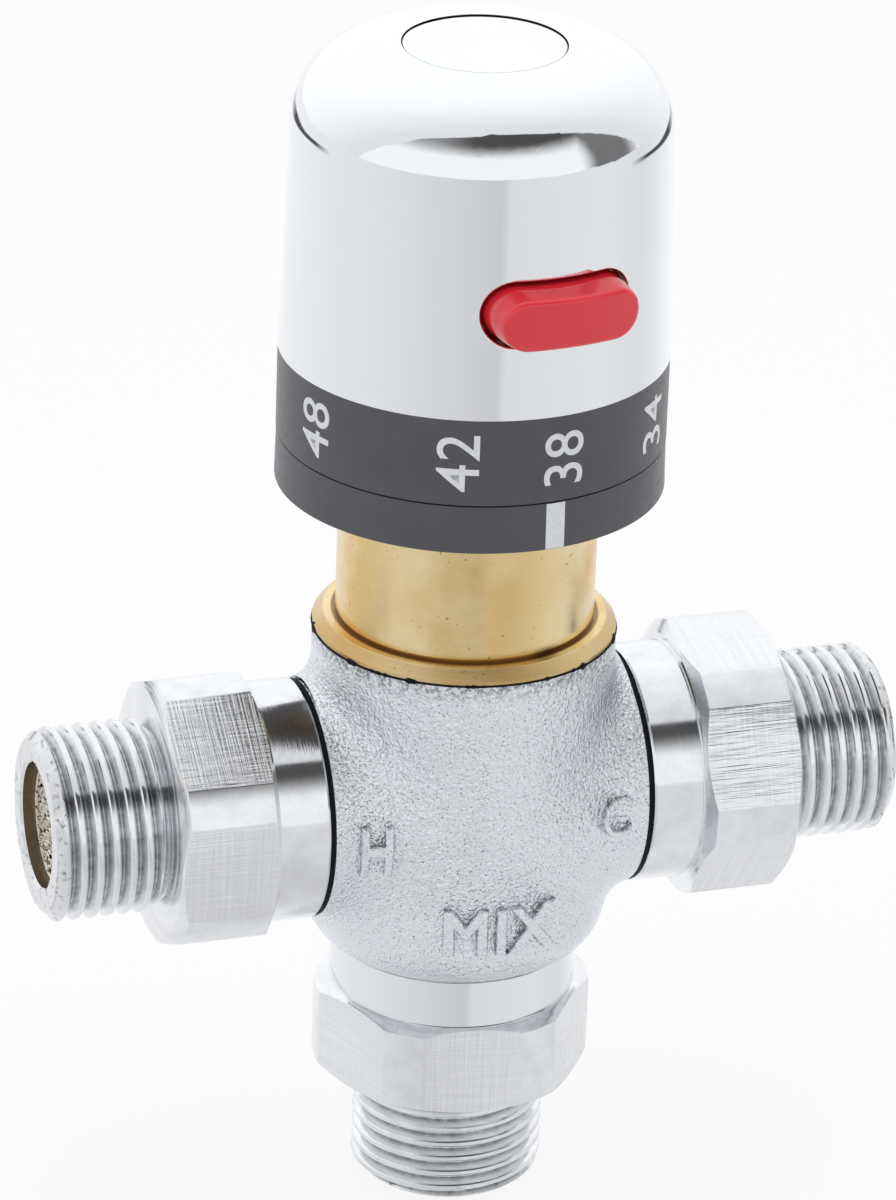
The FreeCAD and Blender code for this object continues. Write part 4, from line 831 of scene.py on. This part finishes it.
def finish(paint):
    """Let a function that fills a shader's inputs make its material when first asked for."""
    def make():
        name = paint.__name__.replace("_", " ")
        made = bpy.data.materials.get(name)
        if made is None:
            made = bpy.data.materials.new(name)
            made.use_nodes = True
            made.node_tree.nodes.clear()
            kit = NodeKit(made.node_tree)
            shader = made.node_tree.nodes.new("ShaderNodeBsdfPrincipled")
            kit.add("ShaderNodeOutputMaterial", {0: shader.outputs[0]})
            paint(kit, shader.inputs)
        return made
    return make


def paint_casting(kit, shader, marks):
    """Satin chrome over a pebbled casting, with tiny dark specks of painted shade in its pits,
    painted shade under the neck's flange and on the letters' lower sides, and a smooth turned band.
    """
    place = kit.place()
    level = kit.split(place)[2]
    grain = kit.group(casting_grain(), Vector=place, Pebbles=2.5)
    body = bpy.context.scene.valve_body
    band = (ARM_LEVEL - body.band_top) / MM - 0.02
    top = (ARM_LEVEL + body.barrel_top) / MM
    cast = kit.ramp(level, band - 0.1, band + 0.1)
    base = kit.mix(grain["Cloud"], tint("cast", 0.94), tint("cast", 1.06))
    # painted shade: the pits are painted dark as tiny specks
    base = kit.mix(kit.times(grain["Specks"], cast), base, tint("cast", 0.22))
    # painted shade under the neck's flange, broken up by noise in the grain
    under = kit.times(kit.smooth(level, top - 2.4, top - 0.3, 0.0, 0.75),
                      kit.ramp(kit.noise(place, 1.8, 3.0, 0.65), 0.44, 0.58))
    base = kit.mix(cast, tint("chrome"), kit.mix(under, base, tint("cast", 0.22)))
    if marks:
        # painted shade on the raised letters' lower sloping sides, mottled by noise
        letter_shade = kit.times(kit.ramp(kit.split(kit.uv("rise"))[0], 0.55, 0.95, 1.0, 0.0),
                         kit.ramp(kit.noise(place, 1.6, 3.0, 0.6), 0.42, 0.60, 0.12, 0.9))
        base = kit.mix(letter_shade, base, tint("cast", 0.12))
    satin = kit.ramp(grain["Cloud"], 0.3, 0.7, 0.055, 0.10)
    kit.surface(shader, base, kit.ramp(cast, 0.0, 1.0, 0.12, satin),
                kit.times(grain["Height"], cast), 1.0, 0.42 * MM)


@finish
def cast_chrome(kit, shader):
    paint_casting(kit, shader, marks=False)


@finish
def cast_chrome_marks(kit, shader):
    paint_casting(kit, shader, marks=True)


@finish
def turned_chrome(kit, shader):
    """Bright chrome over turned brass: faint rings, soft wear, painted shade in the thread's root,
    and dull stains near the mouth.
    """
    run = kit.uv("run")
    along, radius = kit.split(run)[0], kit.split(kit.uv("depth"))[0]
    lines = kit.group(lathe_lines(), Vector=run, Along=7.0, Around=0.05)
    sizes = bpy.context.scene.valve_tails
    mouth = PORT_REACH / MM
    high = mouth - sizes.mouth_chamfer / MM
    low = high - sizes.thread_length / MM
    # painted shade in the thread's root, and stains round the mouth
    blot = kit.noise(kit.place(), 1.1, 5.0, 0.66)
    root_shade = kit.times(kit.ramp(along, low - 0.4, low - 0.1),
                       kit.ramp(along, high - 0.3, high + 0.1, 1.0, 0.0),
                       kit.ramp(radius, sizes.root_radius / MM + 0.05,
                                sizes.crest_radius / MM - 0.5, 1.0, 0.0),
                       kit.ramp(blot, 0.35, 0.65, 0.35, 0.8))
    grime = kit.times(kit.ramp(along, mouth - 2.6, mouth - 0.6),
                      kit.ramp(blot, 0.56, 0.66, 0.12, 0.8))
    base = kit.mix(lines["Wear"], tint("chrome"), tint("chrome", 0.88))
    base = kit.mix(root_shade, base, (0.24, 0.25, 0.27))
    base = kit.mix(grime, base, (0.16, 0.155, 0.15))
    rough = kit.plus(kit.ramp(lines["Wear"], 0.0, 1.0, 0.08, 0.15), kit.times(root_shade, 0.12))
    kit.surface(shader, base, rough, lines["Height"], 0.22, 0.06 * MM)


@finish
def milled_chrome(kit, shader):
    """Chrome over milled flats: cutter lines one way and finer ones across them."""
    run = kit.uv("run")
    crossed = kit.add("ShaderNodeMapping", {"Vector": run, "Rotation": (0, 0, math.radians(90))})[0]
    along = kit.group(lathe_lines(), Vector=run, Along=2.6, Around=0.06)
    across = kit.group(lathe_lines(), Vector=crossed, Along=2.4, Around=0.05)
    height = kit.plus(kit.times(along["Height"], 0.8), kit.times(across["Height"], 1.5))
    kit.surface(shader, kit.mix(along["Streak"], tint("chrome", 0.92), tint("chrome")),
                kit.ramp(across["Streak"], 0.0, 1.0, 0.05, 0.12), height, 0.55, 0.16 * MM)


@finish
def mirror_chrome(kit, shader):
    """Mirror chrome on moulded plastic, with the faintest handling marks and painted shade in the
    fine joint round the cap.
    """
    place = kit.place()
    base = kit.mix(kit.noise(place, 0.09, 3.0, 0.6), tint("chrome"), tint("chrome", 1.04))
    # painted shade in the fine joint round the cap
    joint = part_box("top_cap")[1].x / MM + 0.05
    off_joint = kit.math("ABSOLUTE", kit.minus(kit.off_axis(place), joint))
    base = kit.mix(kit.ramp(off_joint, 0.06, 0.13, 1.0, 0.0), base, (0.03, 0.03, 0.03))
    kit.surface(shader, base, kit.ramp(kit.noise(place, 0.6, 4.0, 0.7), 0.4, 0.8, 0.028, 0.07),
                kit.noise(place, 0.12, 1.0, 0.5), 0.05, 0.4 * MM)


@finish
def dull_bore(kit, shader):
    """Unplated, water-stained wall inside a tail."""
    stain = kit.noise(kit.place(), 0.5, 4.0, 0.65)
    lines = kit.group(lathe_lines(), Vector=kit.uv("run"), Along=3.0, Around=0.05)
    kit.surface(shader, kit.mix(stain, (0.16, 0.12, 0.085), (0.34, 0.27, 0.19)),
                kit.ramp(stain, 0.3, 0.7, 0.24, 0.42), lines["Height"], 0.4, 0.1 * MM)


@finish
def turned_brass(kit, shader):
    """Bare turned brass: satin rings, upright bands of painted reflection over random tarnish, a
    flange darkened with painted reflection, painted shade in the corner at the neck's foot, nicks and
    specks.
    """
    place = kit.place()
    lines = kit.group(lathe_lines(), Vector=kit.place((0, math.radians(90), 0)), Along=5.0,
                      Around=0.06)
    # painted reflection: upright bands of brighter and deeper tone round the neck, mixed with random
    # tarnish
    warm = kit.noise(place, 0.13, 3.0, 0.55)
    reflection_bands = kit.math("SINE", kit.times(kit.plus(kit.bearing(place), kit.times(warm, 0.7)), 5.0))
    tarnish_and_reflection = kit.plus(kit.times(reflection_bands, 0.36), kit.ramp(warm, 0.3, 0.7, 0.15, 0.75))
    base = kit.mix(tarnish_and_reflection, tint("brass"), tint("tarnish"))
    # the flange below the neck is painted darker as a dark reflection, most of all in the corner at
    # the neck's foot as painted shade
    sizes = bpy.context.scene.valve_body
    foot = (ARM_LEVEL + sizes.barrel_top + sizes.flange_height) / MM
    from_neck = kit.minus(kit.off_axis(place), sizes.neck_radius / MM)
    slope = kit.times(kit.ramp(from_neck, 1.2, 1.5, 0.0, 0.75), kit.ramp(reflection_bands, -1.0, 1.0, 0.7, 1.0))
    corner = kit.times(kit.ramp(from_neck, 0.35, 0.6, 1.0, 0.0),
                       kit.ramp(kit.split(place)[2], foot + 0.35, foot + 0.5, 1.0, 0.0))
    base = kit.mix(slope, base, (0.50, 0.31, 0.12))
    base = kit.mix(corner, base, (0.30, 0.17, 0.06))
    nicks = kit.noise(place, 1.7, 3.0, 0.6)
    base = kit.mix(kit.ramp(nicks, 0.68, 0.74, 0.0, 0.8), base, (0.12, 0.07, 0.03))
    height = kit.plus(lines["Height"], kit.ramp(nicks, 0.66, 0.74, 0.0, -2.0))
    kit.surface(shader, base, kit.ramp(lines["Streak"], 0.0, 1.0, 0.17, 0.26), height, 0.16,
                0.06 * MM)


@finish
def dial_plastic(kit, shader):
    """Dark moulded plastic with a fine grain and a soft shine."""
    place = kit.place()
    cloud = kit.noise(place, 0.2, 3.0, 0.6)
    kit.surface(shader, kit.mix(cloud, tint("dial", 0.85), tint("dial", 1.25)),
                kit.ramp(kit.noise(place, 1.2, 4.0, 0.7), 0.3, 0.7, 0.30, 0.44),
                kit.noise(place, 6.0, 2.0, 0.6), 0.12, 0.05 * MM, metal=0.0)


@finish
def button_plastic(kit, shader):
    """Glossy red plastic with a thin clear coat."""
    place = kit.place()
    shader["Coat Weight"].default_value = 0.35
    shader["Coat Roughness"].default_value = 0.06
    shader["Subsurface Weight"].default_value = 0.12
    shader["Subsurface Radius"].default_value = (0.002, 0.0005, 0.0004)
    cloud = kit.noise(place, 0.35, 3.0, 0.6)
    kit.surface(shader, kit.mix(cloud, tint("button"), tint("button", 0.86)),
                kit.ramp(kit.noise(place, 1.5, 3.0, 0.6), 0.3, 0.7, 0.12, 0.22),
                kit.noise(place, 0.5, 2.0, 0.5), 0.06, 0.2 * MM, metal=0.0)


@finish
def seal_rubber(kit, shader):
    """Black nitrile rubber."""
    grain = kit.noise(kit.place(), 2.5, 4.0, 0.7)
    shader["Specular IOR Level"].default_value = 0.12
    kit.surface(shader, kit.mix(grain, tint("rubber"), tint("rubber", 3.0)),
                kit.ramp(grain, 0.3, 0.7, 0.5, 0.7), grain, 0.25, 0.1 * MM, metal=0.0)


@finish
def pale_plastic(kit, shader):
    """Pale acetal of the cartridge."""
    place = kit.place()
    cloud = kit.noise(place, 0.3, 3.0, 0.6)
    kit.surface(shader, kit.mix(cloud, (0.80, 0.80, 0.77), (0.88, 0.88, 0.86)),
                kit.ramp(cloud, 0.3, 0.7, 0.34, 0.5),
                kit.noise(place, 5.0, 2.0, 0.6), 0.12, 0.05 * MM, metal=0.0)


@finish
def spring_steel(kit, shader):
    """Drawn stainless wire and turned steel."""
    draw = kit.noise(kit.place(), 4.0, 3.0, 0.6)
    kit.surface(shader, kit.mix(draw, (0.50, 0.49, 0.47), (0.66, 0.65, 0.62)),
                kit.ramp(draw, 0.3, 0.7, 0.2, 0.36), draw, 0.15, 0.05 * MM)


@finish
def gauze_wire(kit, shader):
    """Tinned bronze wire, pale where it is rubbed and brown between."""
    place = kit.place()
    stain = kit.noise(place, 0.6, 4.0, 0.6)
    kit.surface(shader, kit.mix(kit.ramp(stain, 0.35, 0.65), tint("gauze"), (0.50, 0.42, 0.33)),
                kit.ramp(stain, 0.3, 0.7, 0.16, 0.3),
                kit.noise(place, 6.0, 2.0, 0.5), 0.2, 0.05 * MM)


@finish
def printed_ink(kit, shader):
    """Pale printed ink, a little uneven."""
    cloud = kit.noise(kit.place(), 1.6, 4.0, 0.7)
    base = kit.mix(kit.ramp(cloud, 0.35, 0.7), tint("print_ink"), tint("print_ink", 0.88))
    kit.surface(shader, base, kit.ramp(cloud, 0.3, 0.7, 0.38, 0.52), cloud, 0.15, 0.04 * MM,
                metal=0.0)


FINISHES = {
    "cast_chrome": cast_chrome,
    "turned_chrome": spring_steel,
    "mirror_chrome": mirror_chrome,
    "bare_brass": turned_brass,
    "black_plastic": dial_plastic,
    "red_plastic": button_plastic,
    "black_rubber": seal_rubber,
    "white_plastic": pale_plastic,
    "steel": spring_steel,
}


class VALVE_OT_finishes(bpy.types.Operator):
    """Give every carried-over solid its finish"""
    bl_idname = "valve.finishes"
    bl_label = "Finishes"

    def execute(self, context):
        for row in frame["record"]["subparts"]:
            node = frame["nodes"][row["node"]]
            made = FINISHES[row["material_slot"]]()
            if not node.material_slots:
                node.data.materials.append(made)
            for slot in node.material_slots:
                slot.material = made
        return {"FINISHED"}


# ---------------------------------------------------------------------------------------------
# Stage
# ---------------------------------------------------------------------------------------------
WHITE = (1, 1, 1, 1)
# Brightness of the paper round the valve in reflections: bearing from the front, then value.
PAPER_BANDS = ((-180, 1.0), (-120, 0.9), (-60, 0.8), (-5, 0.66), (0, 0.8), (60, 0.85), (90, 0.8),
               (130, 1.0), (180, 1.0))
PAPER_TINT = (0.985, 0.995, 1.01)


def backdrop_world(stage):
    """White to the camera. Reflections see a pale studio whose overhead panel ends in front of
    the valve, with a dim gap from there down to the pale surroundings."""
    world = bpy.data.worlds.new("studio")
    bpy.context.scene.world = world
    world.use_nodes = True
    world.node_tree.nodes.clear()
    kit = NodeKit(world.node_tree)
    way = kit.add("ShaderNodeTexCoord")["Generated"]
    rise = kit.split(way)[2]
    ahead = (math.sin(stage.azimuth), -math.cos(stage.azimuth), 0)
    right = (math.cos(stage.azimuth), math.sin(stage.azimuth), 0)
    forward, across = (kit.vector("DOT_PRODUCT", way, side)["Value"] for side in (ahead, right))
    # the dim gap under the overhead panel: a hard edge above, a soft one below
    past_panel = kit.minus(kit.plus(forward, kit.times(across, stage.panel_skew)),
                           kit.times(rise, stage.panel_edge))
    open_side = kit.ramp(past_panel, 0.0, 0.02)
    gap = kit.times(kit.smooth(rise, stage.gap_low, stage.gap_high),
                    kit.smooth(across, -0.45, 0.0, 0.75, 1.0))
    # an upright dim strip on the right, where two panels stand apart
    turn = kit.math("ARCTAN2", across, forward)
    strip = kit.times(kit.smooth(turn, 1.05, 1.28), kit.smooth(turn, 1.62, 1.90, 0.88, 0.0))
    below = kit.ramp(kit.math("MAXIMUM", gap, strip), 0.0, 1.0, 1.03, stage.gap_shade)
    panel = kit.ramp(past_panel, -1.0, -0.15, 1.14, 0.84)
    level = kit.plus(kit.times(below, open_side), kit.times(panel, kit.minus(1.0, open_side)))
    mirrored, lit, seen = (
        kit.add("ShaderNodeBackground", {"Color": tone, "Strength": strength})[0]
        for tone, strength in (((0.98, 0.99, 1.0, 1), level), (WHITE, 0.62), (WHITE, 1.0)))
    path = kit.add("ShaderNodeLightPath")
    glossy = kit.mix_shaders(kit.mirrored_ray(path), lit, mirrored)
    kit.add("ShaderNodeOutputWorld", {0: kit.mix_shaders(path["Is Camera Ray"], glossy, seen)})


def floor_paper(stage):
    """Paper that stays white to the camera and keeps a soft shadow. In reflections it is lit
    unevenly round the valve, as by panels of different strength."""
    made = bpy.data.materials.new("floor paper")
    made.use_nodes = True
    made.node_tree.nodes.clear()
    kit = NodeKit(made.node_tree)
    path = kit.add("ShaderNodeLightPath")
    paper = kit.add("ShaderNodeBsdfDiffuse", {"Color": (0.88, 0.88, 0.88, 1)})[0]
    glow = kit.add("ShaderNodeEmission", {"Strength": 1.0})[0]
    seen = kit.mix_shaders(kit.times(path["Is Camera Ray"], 0.86), paper, glow)
    place = kit.add("ShaderNodeTexCoord")["Object"]
    bearing = kit.bearing(place)
    reflection_bands = made.node_tree.nodes.new("ShaderNodeValToRGB")
    kit.put(reflection_bands.inputs[0], kit.ramp(bearing, -math.pi, math.pi))
    points = reflection_bands.color_ramp.elements
    for degrees, value in PAPER_BANDS[1:-1]:
        points.new((degrees + 180) / 360)
    for point, (degrees, value) in zip(points, PAPER_BANDS):
        point.color = (*(value * share for share in PAPER_TINT), 1)
    # a dim line where the paper's sides end, which gives chrome a dark outline
    reach = kit.vector("LENGTH", place)["Value"]
    away = kit.math("ABSOLUTE", kit.minus(bearing, stage.azimuth))
    edge = kit.times(kit.smooth(reach, 0.44, 0.48), kit.smooth(reach, 0.60, 0.66, 1.0, 0.0),
                     kit.times(kit.ramp(away, 1.7, 1.95, 0.0, 0.9),
                               kit.ramp(away, 2.5, 2.8, 1.0, 0.0)))
    mirrored = kit.add("ShaderNodeEmission", {"Color": reflection_bands.outputs["Color"],
                                              "Strength": kit.minus(1.0, edge)})[0]
    kit.add("ShaderNodeOutputMaterial",
            {0: kit.mix_shaders(kit.mirrored_ray(path), seen, mirrored)})
    return made


def plain_floor(stage):
    mesh = bmesh.new()
    bmesh.ops.create_grid(mesh, x_segments=1, y_segments=1, size=3.0)
    data = bpy.data.meshes.new("floor")
    mesh.to_mesh(data)
    mesh.free()
    data.transform(Matrix.Translation((0, 0, CAD_BOX[0][2] - 0.6 * MM)))
    data.materials.append(floor_paper(stage))
    floor = bpy.data.objects.new("floor", data)
    bpy.context.scene.collection.objects.link(floor)


def softbox(name, place, size, power):
    """A rectangular light aimed at the middle of the valve, unseen in reflections."""
    middle = Vector((0, 0, 0.07))
    light = bpy.data.lights.new(name, "AREA")
    light.shape = "RECTANGLE"
    light.size, light.size_y = size
    light.energy = power
    lamp = bpy.data.objects.new(name, light)
    bpy.context.scene.collection.objects.link(lamp)
    lamp.location = place
    lamp.rotation_euler = (Vector(place) - middle).to_track_quat("Z", "Y").to_euler()
    lamp.visible_glossy = False


def place_camera(scene, stage):
    azimuth, elevation, roll = stage.azimuth, stage.elevation, stage.roll
    back = Vector((math.sin(azimuth) * math.cos(elevation),
                   -math.cos(azimuth) * math.cos(elevation), math.sin(elevation)))
    level = Vector((math.cos(azimuth), math.sin(azimuth), 0))
    raised = back.cross(level)
    right = level * math.cos(roll) + raised * math.sin(roll)
    top = raised * math.cos(roll) - level * math.sin(roll)
    lens = bpy.data.cameras.new("camera")
    lens.lens = stage.lens
    lens.sensor_width = 36.0
    lens.sensor_fit = "AUTO"
    lens.clip_start, lens.clip_end = 0.05, 20.0
    camera = bpy.data.objects.new("camera", lens)
    scene.collection.objects.link(camera)
    turn = Matrix((right, top, back)).transposed().to_4x4()
    camera.matrix_world = Matrix.Translation(Vector(stage.target) + back * stage.distance) @ turn
    scene.camera = camera


class VALVE_OT_stage(bpy.types.Operator):
    """Set the floor, the studio lights and the camera"""
    bl_idname = "valve.stage"
    bl_label = "Stage"

    def execute(self, context):
        stage = context.scene.valve_stage
        context.scene.view_settings.view_transform = "Standard"
        backdrop_world(stage)
        plain_floor(stage)
        softbox("top softbox", (0.0, 0.05, 0.75), (0.6, 0.6), stage.key)
        softbox("left softbox", (-0.7, -0.35, 0.3), (0.5, 0.7), stage.fill)
        softbox("right softbox", (0.75, -0.25, 0.35), (0.5, 0.7), stage.fill)
        place_camera(context.scene, stage)
        return {"FINISHED"}


class VALVE_PT_builder(bpy.types.Panel):
    """Lists the valve's pieces"""
    bl_idname = "VALVE_PT_builder"
    bl_label = "Mixing valve"
    bl_space_type = "VIEW_3D"
    bl_region_type = "UI"
    bl_category = "Valve"

    def draw(self, context):
        for operator in OPERATORS:
            self.layout.operator(operator.bl_idname)
        for name in GROUPS:
            group = getattr(context.scene, name)
            box = self.layout.box()
            box.label(text=name.split("_")[1].capitalize())
            for field in group.bl_rna.properties.keys():
                if field not in {"rna_type", "name"}:
                    box.prop(group, field)


GROUPS = {
    "valve_tails": ValveTailSizes,
    "valve_body": ValveBodySizes,
    "valve_strainers": ValveStrainerSizes,
    "valve_marks": ValveMarkSizes,
    "valve_colours": ValveColours,
    "valve_stage": ValveStage,
}
OPERATORS = (VALVE_OT_stage, VALVE_OT_finishes, VALVE_OT_body_skin, VALVE_OT_joint_bead,
             VALVE_OT_tails, VALVE_OT_strainers, VALVE_OT_port_marks, VALVE_OT_dial_numbers,
             VALVE_OT_index_bar)


def register():
    for name, group in GROUPS.items():
        bpy.utils.register_class(group)
        setattr(bpy.types.Scene, name, PointerProperty(type=group))
    for operator in OPERATORS:
        bpy.utils.register_class(operator)
    bpy.utils.register_class(VALVE_PT_builder)


def unregister():
    bpy.utils.unregister_class(VALVE_PT_builder)
    for operator in reversed(OPERATORS):
        bpy.utils.unregister_class(operator)
    for name, group in reversed(GROUPS.items()):
        delattr(bpy.types.Scene, name)
        bpy.utils.unregister_class(group)


def main():
    register()
    for operator in OPERATORS:
        name = operator.bl_idname.split(".")[1]
        getattr(bpy.ops.valve, name)()


if __name__ == "__main__":
    main()
